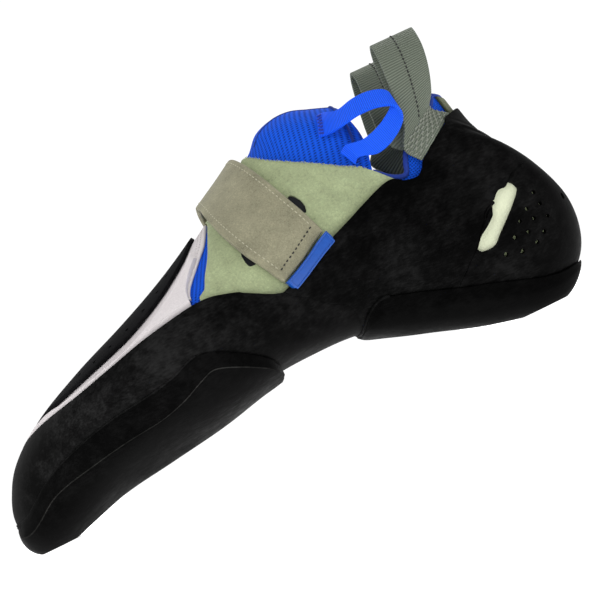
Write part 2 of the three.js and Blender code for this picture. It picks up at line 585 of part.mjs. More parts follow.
function makeRearRand(cup) {
  const rubber = layer(RAND_INNER, RAND_OUTER, REAR_LATTICE);
  const area = block(below(REAR_RUBBER_EDGE), RUBBER_REACH, REAR_FACETS);
  const behind = fromFrontEnd(END_GAP / 2, REAR_LATTICE[0] - SPARE_SECTIONS);
  const front = block(behind, RUBBER_REACH, SEAM_FACETS);
  return rubber.intersect(area).subtract(front).subtract(cup);
}

// The heel's moulded cup, inside a border that is moved in by half of the clearance. Its two ends
// move along the foot, by as many sections for each share of a turn.
const CUP_END_SECTIONS = 3;
function cupBlock(move) {
  const rows = CUP_EDGE.map((r, i) => {
    const end = i === 0 ? -1 : Number(i === CUP_EDGE.length - 1);
    return { section: r.section + end * move * CUP_END_SECTIONS, around: r.around + move };
  });
  return block(below(rows), RUBBER_REACH, CUP_FACETS);
}

// The sole's corner lies a little above its middle, and its side wall is slightly hollow.
const CORNER_RISE = 0.05 * FOREFOOT_SOLE;
const SIDE_HOLLOW = 0.1 * FOREFOOT_SOLE;
function makeOutsole(inside) {
  const rings = FOREFOOT_SOLE_ROWS.map((r) => {
    const depth = SOLE_INNER + FOREFOOT_SOLE * r.depth;
    const wall = SOLE_INNER + FEATHER_EDGE;
    const side = (wall + depth) / 2 - SIDE_HOLLOW;
    const crown = depth - CORNER_RISE;
    return [
      skin(r.section, -r.lateralTop, UPPER_WALL), skin(r.section, -r.lateralTop, wall),
      skin(r.section, -(r.lateral + r.lateralTop) / 2, side),
      skin(r.section, -r.lateral, crown), skin(r.section, -r.lateral * 0.6, crown),
      skin(r.section, -r.lateral * 0.3, depth), skin(r.section, 0, depth),
      skin(r.section, r.medial * 0.3, depth),
      skin(r.section, r.medial * 0.6, crown), skin(r.section, r.medial, crown),
      skin(r.section, (r.medial + r.medialTop) / 2, side),
      skin(r.section, r.medialTop, wall), skin(r.section, r.medialTop, UPPER_WALL),
      skin(r.section, 0, UPPER_WALL),
    ];
  });
  return loft(rings).subtract(inside);
}

function makeHeelSole(inside) {
  const shape = [[1, 0], [1, FEATHER_EDGE / HEEL_SOLE], [0.8, 0.72], [0.5, 0.95], [0.25, 1]];
  const rings = HEEL_SOLE_ROWS.map((r) => {
    const side = (sign) => shape.map(([share, depth], i) => {
      const offset = i === 0 ? UPPER_WALL : SOLE_INNER + HEEL_SOLE * Math.min(depth, r.depth) * r.depth;
      return skin(r.section, sign * share * r.around, offset);
    });
    const middle = skin(r.section, 0, SOLE_INNER + HEEL_SOLE * r.depth * r.depth);
    return [...side(-1), middle, ...side(1).reverse(), skin(r.section, 0, UPPER_WALL)];
  });
  return loft(rings).subtract(inside);
}

// Everything below the floor is cut away, which leaves a flat spot under the toe and the heel.
function belowFloor() {
  const deep = 20;
  const slab = new THREE.BoxGeometry(2 * LAST_LENGTH, 4 * BALL_WIDTH, deep).toNonIndexed();
  slab.translate(LAST_LENGTH / 2, 0, -deep / 2);
  const position = slab.getAttribute('position');
  const corners = [];
  for (let i = 0; i < position.count; i += 1) {
    corners.push(new THREE.Vector3().fromBufferAttribute(position, i));
  }
  return solidFrom(corners);
}

// A band over the foot, above a base offset, as thick as given.
function makeBand(rows, base, thickness) {
  const face = (extra) => rows.map((r) => {
    const row = [];
    for (let j = 0; j <= STRAP_FACETS; j += 1) {
      const t = j / STRAP_FACETS;
      const lift = base + thickness * (r.front + (r.rear - r.front) * t) + extra;
      const section = r.frontSection + (r.rearSection - r.frontSection) * t;
      row.push(skin(section, r.frontAround + (r.rearAround - r.frontAround) * t, lift));
    }
    return row;
  });
  return thickSheet(face(0), face(thickness));
}

// A ribbon through rows of points across its width, with a smooth curve along every column.
function makeRibbon(rows, steps) {
  const columns = rows[0].map((_, j) => {
    const run = rows.map((row) => row[j]);
    return new THREE.CatmullRomCurve3(run, false, 'centripetal');
  });
  const middle = [];
  for (let i = 0; i <= steps; i += 1) {
    middle.push(columns.map((curve) => curve.getPoint(i / steps)));
  }
  const face = (sign) => middle.map((row, i) => row.map((point, j) => {
    const along = columns[j].getTangent(i / steps);
    const across = row[Math.min(j + 1, row.length - 1)].clone().sub(row[Math.max(j - 1, 0)]);
    const outward = along.cross(across).normalize();
    return point.clone().addScaledVector(outward, sign * 0.5 * RIBBON_THICKNESS);
  }));
  return thickSheet(face(-1), face(1));
}

// A straight row across a ribbon.
function levelRow(centre, direction, width) {
  return [-0.5, 0, 0.5].map((share) => centre.clone().addScaledVector(direction, share * width));
}

// The direction across a row of points.
function across(row) {
  return row[row.length - 1].clone().sub(row[0]).normalize();
}

// A heel pull loop: both ends lie against the collar, one outside it and one inside.
function makeHeelLoop(side) {
  const outside = UPPER_WALL + HEEL_LOOP_LIFT + RIBBON_THICKNESS / 2;
  const rim = (section) => skin(section, side * edgeAt(THROAT_EDGE, section), outside);
  const half = HEEL_LOOP_WIDTH / rim(HEEL_LOOP_SECTION - 1).distanceTo(rim(HEEL_LOOP_SECTION + 1));
  const onCollar = (border, above, offset, back = 0) => [-1, 0, 1].map((share) => {
    const section = HEEL_LOOP_SECTION + back + share * half;
    return onLattice(section, side * (edgeAt(border, section) + above), offset);
  });
  const low = onCollar(REAR_RUBBER_EDGE, HEEL_LOOP_ROOT, outside);
  const high = onCollar(THROAT_EDGE, HEEL_LOOP_RIM, outside);
  const level = new THREE.Vector3(1, 0, 0);
  const free = HEEL_LOOP_ROWS.map((r) => {
    const centre = high[1].clone().add(new THREE.Vector3(
      -r.forward * HEEL_LOOP_HEIGHT, -side * r.inward * HEEL_LOOP_HEIGHT, r.up * HEEL_LOOP_HEIGHT));
    const direction = across(high).lerp(level, Math.min(r.up / HEEL_LOOP_LEVEL, 1)).normalize();
    return levelRow(centre, direction, HEEL_LOOP_WIDTH);
  });
  const inside = HEEL_LOOP_INSIDE.map((r) => (
    onCollar(THROAT_EDGE, r.above, -r.gap - RIBBON_THICKNESS / 2, r.back)));
  return makeRibbon([low, high, ...free, ...inside], HEEL_LOOP_STEPS);
}

// The tongue's pull loop, sewn to the outer side of the dome at both ends.
function makeTongueLoop() {
  const lift = DOME_RISE + CLEARANCE + RIBBON_THICKNESS / 2;
  const sewn = TONGUE_LOOP_SEAMS.map((r) => [0, 0.5, 1].map((share) => (
    skin(r.section + (r.toSection - r.section) * share, -(r.around + (r.toAround - r.around) * share),
      lift))));
  const free = TONGUE_LOOP_ROWS.map((r, i) => {
    const centre = sewn[1][1].clone().add(new THREE.Vector3(
      r.back * TONGUE_LOOP_REACH, -r.out * TONGUE_LOOP_REACH, r.up * TONGUE_LOOP_REACH));
    const share = (i + 1) / (TONGUE_LOOP_ROWS.length + 1);
    const direction = across(sewn[1]).lerp(across(sewn[2]), share).normalize();
    return levelRow(centre, direction, TONGUE_LOOP_WIDTH);
  });
  return makeRibbon([...sewn.slice(0, 2), ...free, ...sewn.slice(2)], TONGUE_LOOP_STEPS);
}

const MATERIALS = {
  mesh: new THREE.MeshStandardMaterial({ color: 0x1d5fd0, roughness: 0.85, metalness: 0 }),
  microfibre: new THREE.MeshStandardMaterial({ color: 0xdfdad6, roughness: 0.8, metalness: 0 }),
  rubber: new THREE.MeshStandardMaterial({ color: 0x17171a, roughness: 0.55, metalness: 0 }),
  suede: new THREE.MeshStandardMaterial({ color: 0x97937c, roughness: 0.95, metalness: 0 }),
  webbing: new THREE.MeshStandardMaterial({ color: 0x8f9088, roughness: 0.8, metalness: 0 }),
  tab: new THREE.MeshStandardMaterial({ color: 0x1769dd, roughness: 0.45, metalness: 0 }),
  board: new THREE.MeshStandardMaterial({ color: 0x2b2b2e, roughness: 0.9, metalness: 0 }),
};

const shoe = new THREE.Group();

function addPiece(name, solid, material) {
  const { numProp, vertProperties, triVerts } = solid.getMesh();
  const geometry = new THREE.BufferGeometry();
  const positions = new Float32Array((vertProperties.length / numProp) * 3);
  for (let i = 0; i < positions.length / 3; i += 1) {
    positions.set(vertProperties.subarray(i * numProp, i * numProp + 3), i * 3);
  }
  geometry.setAttribute('position', new THREE.BufferAttribute(positions, 3));
  geometry.setIndex(new THREE.BufferAttribute(new Uint32Array(triVerts), 1));
  geometry.computeVertexNormals();
  const mesh = new THREE.Mesh(geometry, material);
  mesh.name = name;
  shoe.add(mesh);
}

const floor = belowFloor();
const rubber = layer(RAND_INNER, RAND_OUTER);
const underRubber = core(SOLE_INNER);
const heelSlot = block(between(HEEL_SLOT, -1), RUBBER_REACH, SLOT_FACETS);
const toePatch = block(above(PATCH_EDGE), RUBBER_REACH, PANEL_FACETS);

addPiece('upper', makeUpper(), MATERIALS.microfibre);
addPiece('tongue', makeTongue(), MATERIALS.mesh);
addPiece('insole', makeInsole(), MATERIALS.board);
addPiece('front_rand', makeFrontRand(), MATERIALS.rubber);
addPiece('rear_rand', makeRearRand(cupBlock(CUP_GAP / 2)), MATERIALS.rubber);
addPiece('heel_cup', rubber.intersect(cupBlock(-CUP_GAP / 2)).subtract(heelSlot), MATERIALS.rubber);
addPiece('toe_patch', rubber.intersect(toePatch), MATERIALS.rubber);
addPiece('forefoot_sole', makeOutsole(underRubber).subtract(floor), MATERIALS.rubber);
addPiece('heel_sole', makeHeelSole(underRubber).subtract(floor), MATERIALS.rubber);
addPiece('strap', makeBand(STRAP_ROWS, UPPER_WALL, STRAP_THICKNESS), MATERIALS.suede);
addPiece('strap_tab', makeBand(TAB_ROWS, RAND_OUTER + CLEARANCE, TAB_THICKNESS), MATERIALS.tab);
addPiece('heel_loop_outer', makeHeelLoop(-1), MATERIALS.webbing);
addPiece('heel_loop_inner', makeHeelLoop(1), MATERIALS.webbing);
addPiece('tongue_loop', makeTongueLoop(), MATERIALS.tab);

// The origin is at the middle of the shoe's box, on the floor.
const box = new THREE.Box3().setFromObject(shoe);
shoe.position.set(-(box.min.x + box.max.x) / 2, -(box.min.y + box.max.y) / 2, -box.min.z);

export default shoe;
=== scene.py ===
# A left climbing shoe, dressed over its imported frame: fine rubber, suede, mesh, ribbon and thread.
# Metres, +Z up, toe towards -X, outer side towards -Y, as in the frame.
# Every piece follows the last, point(section, around): section counts along the foot from the toe tip,
# around runs from 0 under the foot to 1 on top, negative on the outer side.
import math

import bpy
import numpy as np
from mathutils import Matrix, Vector
from bpy.props import FloatProperty, FloatVectorProperty, PointerProperty


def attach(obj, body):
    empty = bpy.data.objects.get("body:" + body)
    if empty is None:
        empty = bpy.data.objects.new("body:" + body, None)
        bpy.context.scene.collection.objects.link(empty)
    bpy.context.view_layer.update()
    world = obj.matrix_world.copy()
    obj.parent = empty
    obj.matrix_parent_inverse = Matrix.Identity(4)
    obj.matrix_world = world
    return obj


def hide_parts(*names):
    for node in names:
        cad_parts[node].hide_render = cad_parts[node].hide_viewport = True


bl_info = {
    "name": "Climbing Shoe",
    "version": (1, 0, 0),
    "blender": (4, 5, 0),
    "location": "3D View > Sidebar > Climbing Shoe",
    "description": "Dresses the frame of a climbing shoe in rubber, suede, mesh, ribbon and thread",
    "category": "Add Mesh",
}

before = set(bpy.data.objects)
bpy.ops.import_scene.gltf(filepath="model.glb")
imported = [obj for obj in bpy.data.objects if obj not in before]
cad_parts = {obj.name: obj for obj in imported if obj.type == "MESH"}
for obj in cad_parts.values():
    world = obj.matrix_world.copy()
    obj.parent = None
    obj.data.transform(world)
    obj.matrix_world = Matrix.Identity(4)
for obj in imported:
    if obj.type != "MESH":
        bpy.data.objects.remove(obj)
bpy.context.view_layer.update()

# Where the last's own origin lies in the frame.
LAST_ORIGIN = Vector((-0.121881, 0.001334, 0.0))

# Driving sizes of the last, as in the part's source.
LAST_LENGTH = 0.245
BALL_WIDTH = 0.0765
HEEL_WIDTH = 0.055
INSTEP_HEIGHT = 0.109
HEEL_HEIGHT = 0.0888
UPPER_WALL = 0.002
RAND_WALL = 0.0018
FOREFOOT_SOLE = 0.004
HEEL_SOLE = 0.0034
CLEARANCE = 0.0003
RAND_INNER = UPPER_WALL + CLEARANCE
RAND_OUTER = RAND_INNER + RAND_WALL
SOLE_INNER = RAND_OUTER + CLEARANCE
TOE_LIFT = SOLE_INNER + FOREFOOT_SOLE - 0.0009
HEEL_LIFT = SOLE_INNER + HEEL_SOLE - 0.001
RIBBON_THICKNESS = 0.0012
HEEL_LOOP_WIDTH = 0.0178
HEEL_LOOP_HEIGHT = 0.0345
HEEL_LOOP_LIFT = 0.0016
TONGUE_LOOP_WIDTH = 0.0078
TONGUE_LOOP_REACH = 0.027
STRAP_THICKNESS = 0.0024
TAB_THICKNESS = 0.0026
DOME_RISE = 0.0018

# Layers of the upper, from the last outwards.
SOCK = (0.0, 0.0009)
VAMP = (0.001, 0.0019)
SUEDE = (0.001, 0.0021)
VAMP_RISE = 0.0021

# The last's sections, toe to collar: bottomX, bottomZ, topX, topZ, keel, lateral, medial, widest, low,
# high, roll. x is a share of the length, z of the height above the flat spot, keel and widths of the
# width; roll is in degrees.
FOREFOOT_SECTIONS = (
    (0.022, 0.073, 0.022, 0.073, 0.170, 0, 0, 0.45, 2.2, 2.0, 6),
    (0.031, 0.010, 0.032, 0.152, 0.170, 0.144, 0.137, 0.45, 2.3, 2.0, 7),
    (0.055, 0.000, 0.057, 0.241, 0.157, 0.261, 0.222, 0.45, 2.5, 2.0, 9),
    (0.102, 0.039, 0.112, 0.340, 0.131, 0.379, 0.301, 0.45, 2.7, 2.0, 11),
    (0.176, 0.093, 0.188, 0.419, 0.105, 0.510, 0.366, 0.45, 2.8, 2.0, 12),
    (0.261, 0.123, 0.278, 0.503, 0.078, 0.582, 0.418, 0.44, 2.8, 2.0, 12),
    (0.351, 0.147, 0.367, 0.607, 0.052, 0.569, 0.418, 0.43, 2.7, 2.0, 10),
    (0.437, 0.182, 0.449, 0.721, 0.026, 0.503, 0.379, 0.42, 2.6, 2.0, 7),
    (0.522, 0.192, 0.516, 0.830, 0.007, 0.431, 0.353, 0.41, 2.5, 2.0, 4),
)
REAR_SECTIONS = (
    (0.612, 0.231, 0.563, 0.919, 0, 0.545, 0.491, 0.40, 2.4, 2.1, 2),
    (0.710, 0.145, 0.596, 0.973, 0, 0.518, 0.500, 0.38, 2.4, 2.2, 0),
    (0.816, 0.042, 0.624, 0.998, 0, 0.509, 0.509, 0.34, 2.5, 2.3, 0),
    (0.906, 0.000, 0.653, 0.998, 0, 0.500, 0.500, 0.32, 2.4, 2.4, 0),
    (0.963, 0.096, 0.678, 0.978, 0, 0.491, 0.491, 0.31, 2.2, 2.4, 0),
    (0.982, 0.286, 0.700, 0.958, 0, 0.482, 0.482, 0.33, 2.0, 2.4, 0),
    (0.961, 0.481, 0.720, 0.939, 0, 0.473, 0.473, 0.36, 2.0, 2.3, 0),
    (0.924, 0.640, 0.739, 0.919, 0, 0.445, 0.445, 0.42, 2.0, 2.2, 0),
    (0.896, 0.792, 0.755, 0.904, 0, 0.409, 0.409, 0.48, 2.1, 2.1, 0),
    (0.880, 1.000, 0.769, 0.889, 0, 0.364, 0.364, 0.50, 2.2, 2.0, 0),
)
LAST_SECTION = len(FOREFOOT_SECTIONS) + len(REAR_SECTIONS) - 1

# Borders as (section, around); both sides of the shoe share them.
RAND_TOP = (
    (0, 1), (2.15, 1), (2.3, 0.96), (2.7, 0.80), (3.2, 0.69), (3.8, 0.605), (4.4, 0.572), (5.2, 0.565),
    (6.0, 0.560), (6.35, 0.548), (6.7, 0.520), (7.1, 0.485), (7.7, 0.430), (8.5, 0.430), (10.1, 0.430),
)
PATCH_EDGE = (
    (2.45, 0.985), (2.7, 0.90), (3.0, 0.832), (3.5, 0.708), (4.0, 0.644), (4.5, 0.618), (5.0, 0.621),
    (5.5, 0.658), (6.0, 0.714), (6.5, 0.79), (6.85, 0.90), (6.95, 0.985),
)
THROAT_EDGE = (
    (0, 1), (7.05, 1), (7.2, 0.93), (7.5, 0.90), (8.4, 0.905), (8.9, 0.915), (9.1, 0.845), (9.35, 0.780),
    (9.8, 0.730), (10.3, 0.695), (10.8, 0.667), (11.3, 0.646), (11.6, 0.616), (12.0, 0.608),
    (12.5, 0.630), (13.0, 0.644), (14.0, 0.642), (15.0, 0.612), (16.0, 0.565), (16.75, 0.520),
    (17.4, 0.440), (18.0, 0.330),
)
REAR_RUBBER_EDGE = (
    (7.2, 0.40), (7.73, 0.427), (8.5, 0.470), (9.3, 0.512), (9.85, 0.541), (10.8, 0.589), (11.45, 0.606),
    (11.7, 0.596), (12.1, 0.594), (12.5, 0.603), (13.0, 0.613), (14.0, 0.602), (15.0, 0.568),
    (16.0, 0.505), (16.6, 0.445), (17.2, 0.340), (17.5, 0.22), (17.6, 0.04),
)
CUP_EDGE = (
    (10.45, 0.18), (10.62, 0.280), (10.84, 0.339), (11.15, 0.398), (11.85, 0.486), (12.6, 0.506),
    (13.3, 0.492), (13.85, 0.466), (14.55, 0.352), (14.9, 0.20), (15.0, 0.04),
)
TONGUE_EDGE = (
    (5.7, 0.52), (6.5, 0.51), (7.5, 0.51), (8.5, 0.54), (9.5, 0.56), (10.5, 0.585), (11.2, 0.620),
    (11.7, 0.66), (12.3, 0.70), (13.0, 0.75), (13.6, 0.80), (14.2, 0.86), (14.7, 0.93), (15.0, 0.985),
)
INSOLE_EDGE = (
    (0.9, 0.18), (1.4, 0.30), (2.2, 0.345), (3.5, 0.36), (5.5, 0.345), (7.5, 0.33), (9.5, 0.33),
    (11.0, 0.32), (12.1, 0.25), (12.7, 0.08),
)
# The suede's top edge: the throat, then hidden under the rubber along the collar.
SUEDE_TOP = (
    (6.1, 0.98), (8.4, 0.905), (8.9, 0.92), (9.1, 0.845), (9.35, 0.780), (9.8, 0.730), (10.3, 0.695),
    (10.8, 0.667), (11.34, 0.644), (11.62, 0.605), (12.0, 0.575), (13.0, 0.59), (14.0, 0.58),
    (15.0, 0.545), (16.0, 0.48), (17.0, 0.35),
)
# Borders as (around, section).
VAMP_REAR = (
    (0.48, 6.05), (0.583, 6.08), (0.634, 6.14), (0.674, 6.28), (0.738, 6.60), (0.804, 6.90),
    (0.90, 7.14), (1.0, 7.27),
)
SUEDE_FRONT = (
    (0.0, 6.20), (0.45, 6.22), (0.573, 6.26), (0.583, 6.38), (0.638, 6.54), (0.72, 6.82), (0.862, 7.18),
    (0.95, 7.26),
)
FRONT_RUBBER_END = (
    (0, 8.95), (0.15, 8.92), (0.262, 8.78), (0.30, 8.48), (0.365, 8.14), (0.43, 7.72), (0.60, 7.45),
    (1.0, 7.3),
)
END_GAP = 0.016

# Openings cut on the outer side, as (section, lower edge, upper edge).
STRAP_SLOT = (
    (7.32, 0.575, 0.602), (7.40, 0.552, 0.618), (7.8, 0.552, 0.618), (8.4, 0.568, 0.632),
    (8.95, 0.590, 0.650), (9.10, 0.588, 0.645), (9.19, 0.605, 0.625),
)
HEEL_SLOT = (
    (11.36, 0.418, 0.426), (11.42, 0.411, 0.438), (11.69, 0.420, 0.466), (12.05, 0.450, 0.487),
    (12.45, 0.468, 0.502), (12.8, 0.474, 0.507), (13.1, 0.472, 0.507), (13.35, 0.463, 0.500),
    (13.50, 0.458, 0.492), (13.58, 0.470, 0.486),
)
# Pinholes: (section, around, radius).
HEEL_HOLES = (
    (13.56, 0.399, 0.0009), (13.02, 0.431, 0.0008), (12.60, 0.437, 0.0007), (12.88, 0.401, 0.0008),
    (12.16, 0.415, 0.0009), (12.48, 0.397, 0.0008), (12.72, 0.351, 0.0009), (12.40, 0.353, 0.0009),
    (12.00, 0.363, 0.0009), (11.70, 0.379, 0.0009), (13.34, 0.381, 0.0008), (13.14, 0.351, 0.0008),
    (13.92, 0.227, 0.0014),
)
PATCH_HOLES = (
    (6.06, 0.822), (5.74, 0.76), (5.38, 0.724), (5.00, 0.698), (4.64, 0.696), (4.32, 0.702), (4.02, 0.738),
)

# The forefoot sole: section, lateral corner, lateral top, medial corner, medial top, depth.
FOREFOOT_SOLE_ROWS = (
    (0.3, 0.12, 0.40, 0.12, 0.40, 0.15), (0.65, 0.22, 0.41, 0.22, 0.40, 0.55),
    (1.05, 0.28, 0.42, 0.28, 0.41, 0.90), (1.5, 0.305, 0.42, 0.31, 0.41, 1),
    (2.4, 0.355, 0.44, 0.33, 0.42, 1), (3.0, 0.347, 0.43, 0.33, 0.42, 1),
    (3.6, 0.317, 0.41, 0.32, 0.41, 1), (4.2, 0.286, 0.39, 0.31, 0.40, 1),
    (4.85, 0.262, 0.37, 0.30, 0.39, 1), (5.3, 0.280, 0.375, 0.29, 0.38, 1),
    (5.7, 0.323, 0.40, 0.28, 0.37, 1), (6.0, 0.332, 0.39, 0.27, 0.36, 1),
    (6.5, 0.262, 0.31, 0.25, 0.32, 1), (7.05, 0.158, 0.19, 0.18, 0.22, 0.95),
    (7.3, 0.06, 0.075, 0.07, 0.085, 0.88),
)
# The heel sole: section, edge, depth.
HEEL_SOLE_ROWS = (
    (8.98, 0.10, 0.62), (9.1, 0.19, 0.85), (9.4, 0.262, 0.95), (9.9, 0.275, 1), (10.6, 0.281, 1),
    (11.05, 0.282, 1), (11.45, 0.268, 1), (11.8, 0.244, 1), (12.2, 0.20, 1), (12.6, 0.14, 0.75),
    (12.85, 0.06, 0.45),
)
# The strap: front section and around, rear section and around, and how far each edge stands off.
STRAP_ROWS = (
    (7.80, -0.459, 9.09, -0.525, 0.38, 0.38), (7.57, -0.52, 8.99, -0.585, 0.38, 0.38),
    (7.34, -0.60, 8.87, -0.66, 0.38, 0.38), (7.22, -0.70, 8.80, -0.75, 0.50, 0.38),
    (7.24, -0.80, 8.78, -0.84, 0.84, 0.38), (7.36, -0.90, 8.79, -0.92, 1.40, 0.42),
    (7.45, -1.00, 8.80, -1.00, 1.60, 0.42), (7.46, -1.10, 8.80, -1.09, 1.33, 0.33),
    (7.47, -1.20, 8.82, -1.18, 0.67, 0.38), (7.50, -1.30, 8.86, -1.27, 0.38, 0.38),
    (7.54, -1.40, 8.90, -1.36, 0.38, 0.38), (7.57, -1.46, 8.92, -1.42, 0.38, 0.38),
)
TAB_ROWS = (
    (7.81, -0.455, 9.10, -0.521, 0.04, 0.04), (7.86, -0.436, 9.13, -0.508, 0.04, 0.04),
    (7.91, -0.418, 9.15, -0.496, 0.04, 0.04),
)
# The heel loops: how far their sewn rows lie above the rubber and the throat, outside the collar, and
# inside it as (above the throat, gap, sections back); then their free run as shares of their height:
# up, in towards the foot, forward.
HEEL_LOOP_SECTION = 15.0
HEEL_LOOP_ROOT = 0.012
HEEL_LOOP_RIM = 0.004
HEEL_LOOP_INSIDE = ((0.035, 0.0022, 0.3), (-0.01, 0.0012, 0.35), (-0.065, 0.0008, 0.4))
HEEL_LOOP_LEVEL = 0.7
HEEL_LOOP_ROWS = (
    (0.16, -0.03, -0.04), (0.45, -0.05, -0.10), (0.75, -0.01, -0.15), (0.93, 0.07, -0.17),
    (1.0, 0.16, -0.18), (0.95, 0.25, -0.18), (0.80, 0.30, -0.17), (0.55, 0.29, -0.15),
    (0.32, 0.23, -0.12),
)
# The tongue loop's sewn rows, (section, around) at each side of the ribbon, and its free run as shares
# of its reach: back, out, up.
TONGUE_LOOP_SEAMS = (
    (12.20, 0.832, 11.30, 0.762), (12.75, 0.839, 11.60, 0.758), (11.60, 0.712, 11.48, 0.674),
    (11.25, 0.700, 11.20, 0.662),
)
TONGUE_LOOP_ROWS = (
    (0.16, 0.20, -0.06), (0.39, 0.36, -0.03), (0.65, 0.45, -0.05), (0.85, 0.50, -0.15),
    (0.85, 0.52, -0.33), (0.64, 0.50, -0.51), (0.34, 0.38, -0.61),
)

# Creases that wear has left, on both sides alike: their path as (section, around), how wide they are
# and how deep, with a low ridge at each side. Sizes in metres.
CREASES = (
    (((5.3, 0.34), (5.9, 0.46), (6.2, 0.56)), 0.0035, 0.0005), (((6.5, 0.26), (6.9, 0.38), (7.2, 0.49)), 0.0040, 0.0006),
    (((7.6, 0.20), (7.9, 0.30), (8.6, 0.42)), 0.0045, 0.0005), (((9.9, 0.70), (10.1, 0.62), (10.6, 0.55)), 0.0030, 0.0004),
    (((10.4, 0.50), (10.9, 0.46), (11.3, 0.52)), 0.0035, 0.0004), (((15.4, 0.54), (15.7, 0.36), (15.8, 0.10)), 0.0050, 0.0006),
    (((16.3, 0.44), (16.5, 0.25), (16.55, 0.05)), 0.0040, 0.0004), (((6.3, 0.62), (6.7, 0.70), (6.9, 0.80)), 0.0025, 0.0003),
    (((3.2, 0.52), (4.1, 0.47), (5.0, 0.46)), 0.0040, 0.0003), (((12.3, 0.30), (12.9, 0.33), (13.5, 0.28)), 0.0040, 0.0003),
)
SECTION_STEP = LAST_LENGTH / 14
HALF_GIRTH = 0.1

# The camera: where it aims, how far off and how high it is, and how the photograph is rolled.
CAMERA_AIM = LAST_ORIGIN + Vector((0.1334, 0, 0.0436))
CAMERA_AZIMUTH = math.radians(-10)
CAMERA_DISTANCE = 0.8
CAMERA_HEIGHT = 0.009
CAMERA_ROLL = math.radians(26.2)
FRAME_PIXELS = 600
PIXEL_SIZE = 0.00038
SENSOR = 36
# Centre of the floor's painted contact shadow, under the toe.
TOE_CONTACT = (-0.108, 0.016, 0)


def linear(hex_colour):
    """An sRGB hex colour as linear red, green and blue."""
    parts = [int(hex_colour[i:i + 2], 16) / 255 for i in (1, 3, 5)]
    return tuple(c / 12.92 if c <= 0.04045 else ((c + 0.055) / 1.055) ** 2.4 for c in parts)


class ShoeSizes(bpy.types.PropertyGroup):
    """Sizes that a user would change."""
    edge_round: FloatProperty(
        name="Rubber edge", description="How far the rubber's cut edges are rounded",
        default=0.00045, unit="LENGTH")
    cell: FloatProperty(
        name="Mesh cell", description="Size of the faces that the pieces are built from",
        default=0.0016, unit="LENGTH")
    stitch: FloatProperty(
        name="Stitch", description="Length of one stitch on the strap", default=0.0012, unit="LENGTH")
    knit: FloatProperty(
        name="Knit", description="Distance between the holes of the mesh", default=0.0016, unit="LENGTH")
    rib: FloatProperty(
        name="Ribbon rib", description="Distance between the ribs of the ribbons", default=0.0009,
        unit="LENGTH")


class ShoeColours(bpy.types.PropertyGroup):
    """Colours that a user would change."""
    rubber: FloatVectorProperty(
        name="Rubber", description="Black rand rubber", subtype="COLOR", default=linear("#0a0a0a"))
    sole: FloatVectorProperty(
        name="Sole", description="Black sole rubber", subtype="COLOR", default=linear("#040404"))
    patch: FloatVectorProperty(
        name="Toe patch", description="Moulded toe rubber", subtype="COLOR", default=linear("#0e0e0f"))
    vamp: FloatVectorProperty(
        name="Vamp", description="Pale microfibre", subtype="COLOR", default=linear("#cfc9ca"))
    suede: FloatVectorProperty(
        name="Suede", description="Pale green suede", subtype="COLOR", default=linear("#99a37e"))
    strap: FloatVectorProperty(
        name="Strap", description="Grey suede of the strap", subtype="COLOR", default=linear("#8b8871"))
    mesh: FloatVectorProperty(
        name="Mesh", description="Blue knitted mesh", subtype="COLOR", default=linear("#0f50cf"))
    ribbon: FloatVectorProperty(
        name="Blue ribbon", description="Blue pull ribbon", subtype="COLOR", default=linear("#1257ee"))
    webbing: FloatVectorProperty(
        name="Grey ribbon", description="Grey pull ribbon", subtype="COLOR", default=linear("#636a5e"))
    tab: FloatVectorProperty(
        name="Tab", description="Blue moulded tab", subtype="COLOR", default=linear("#0448a0"))


def sizes():
    return bpy.context.scene.climbing_shoe_sizes


def colours():
    return bpy.context.scene.climbing_shoe_colours


# The last

def spline(rows, at):
    """A smooth curve through the rows of a table, at row numbers that need not be whole."""
    rows = np.asarray(rows, float)
    last = len(rows) - 1
    before = 2 * rows[0] - rows[1]
    after = 2 * rows[last] - rows[last - 1]
    padded = np.vstack([before, rows, after])
    at = np.asarray(at, float)
    index = np.clip(np.floor(at).astype(int), 0, last - 1)
    t = (at - index)[..., None]
    p0, p1, p2, p3 = (padded[index + k] for k in range(4))
    square = (2 * p0 - 5 * p1 + 4 * p2 - p3) * t ** 2
    cube = (3 * p1 - p0 - 3 * p2 + p3) * t ** 3
    return 0.5 * (2 * p1 + (p2 - p0) * t + square + cube)


def last_sections():
    """The last's sections in metres, with a mirrored one before the tip so that the toe is round."""
    def sized(row, width, lift, bottom):
        return (
            row[0] * LAST_LENGTH, lift + row[1] * (bottom - lift), row[2] * LAST_LENGTH,
            TOE_LIFT + row[3] * (INSTEP_HEIGHT - TOE_LIFT), row[4] * width, row[5] * width,
            row[6] * width, row[7], row[8], row[9], math.radians(row[10]))
    rows = [sized(row, BALL_WIDTH, TOE_LIFT, INSTEP_HEIGHT) for row in FOREFOOT_SECTIONS]
    rows += [sized(row, HEEL_WIDTH, HEEL_LIFT, HEEL_HEIGHT) for row in REAR_SECTIONS]
    tip = list(rows[1])
    tip[0:4] = [rows[1][2], rows[1][3], rows[1][0], rows[1][1]]
    tip[5:7] = [-rows[1][5], -rows[1][6]]
    return np.array([tip] + rows)


SECTIONS = last_sections()


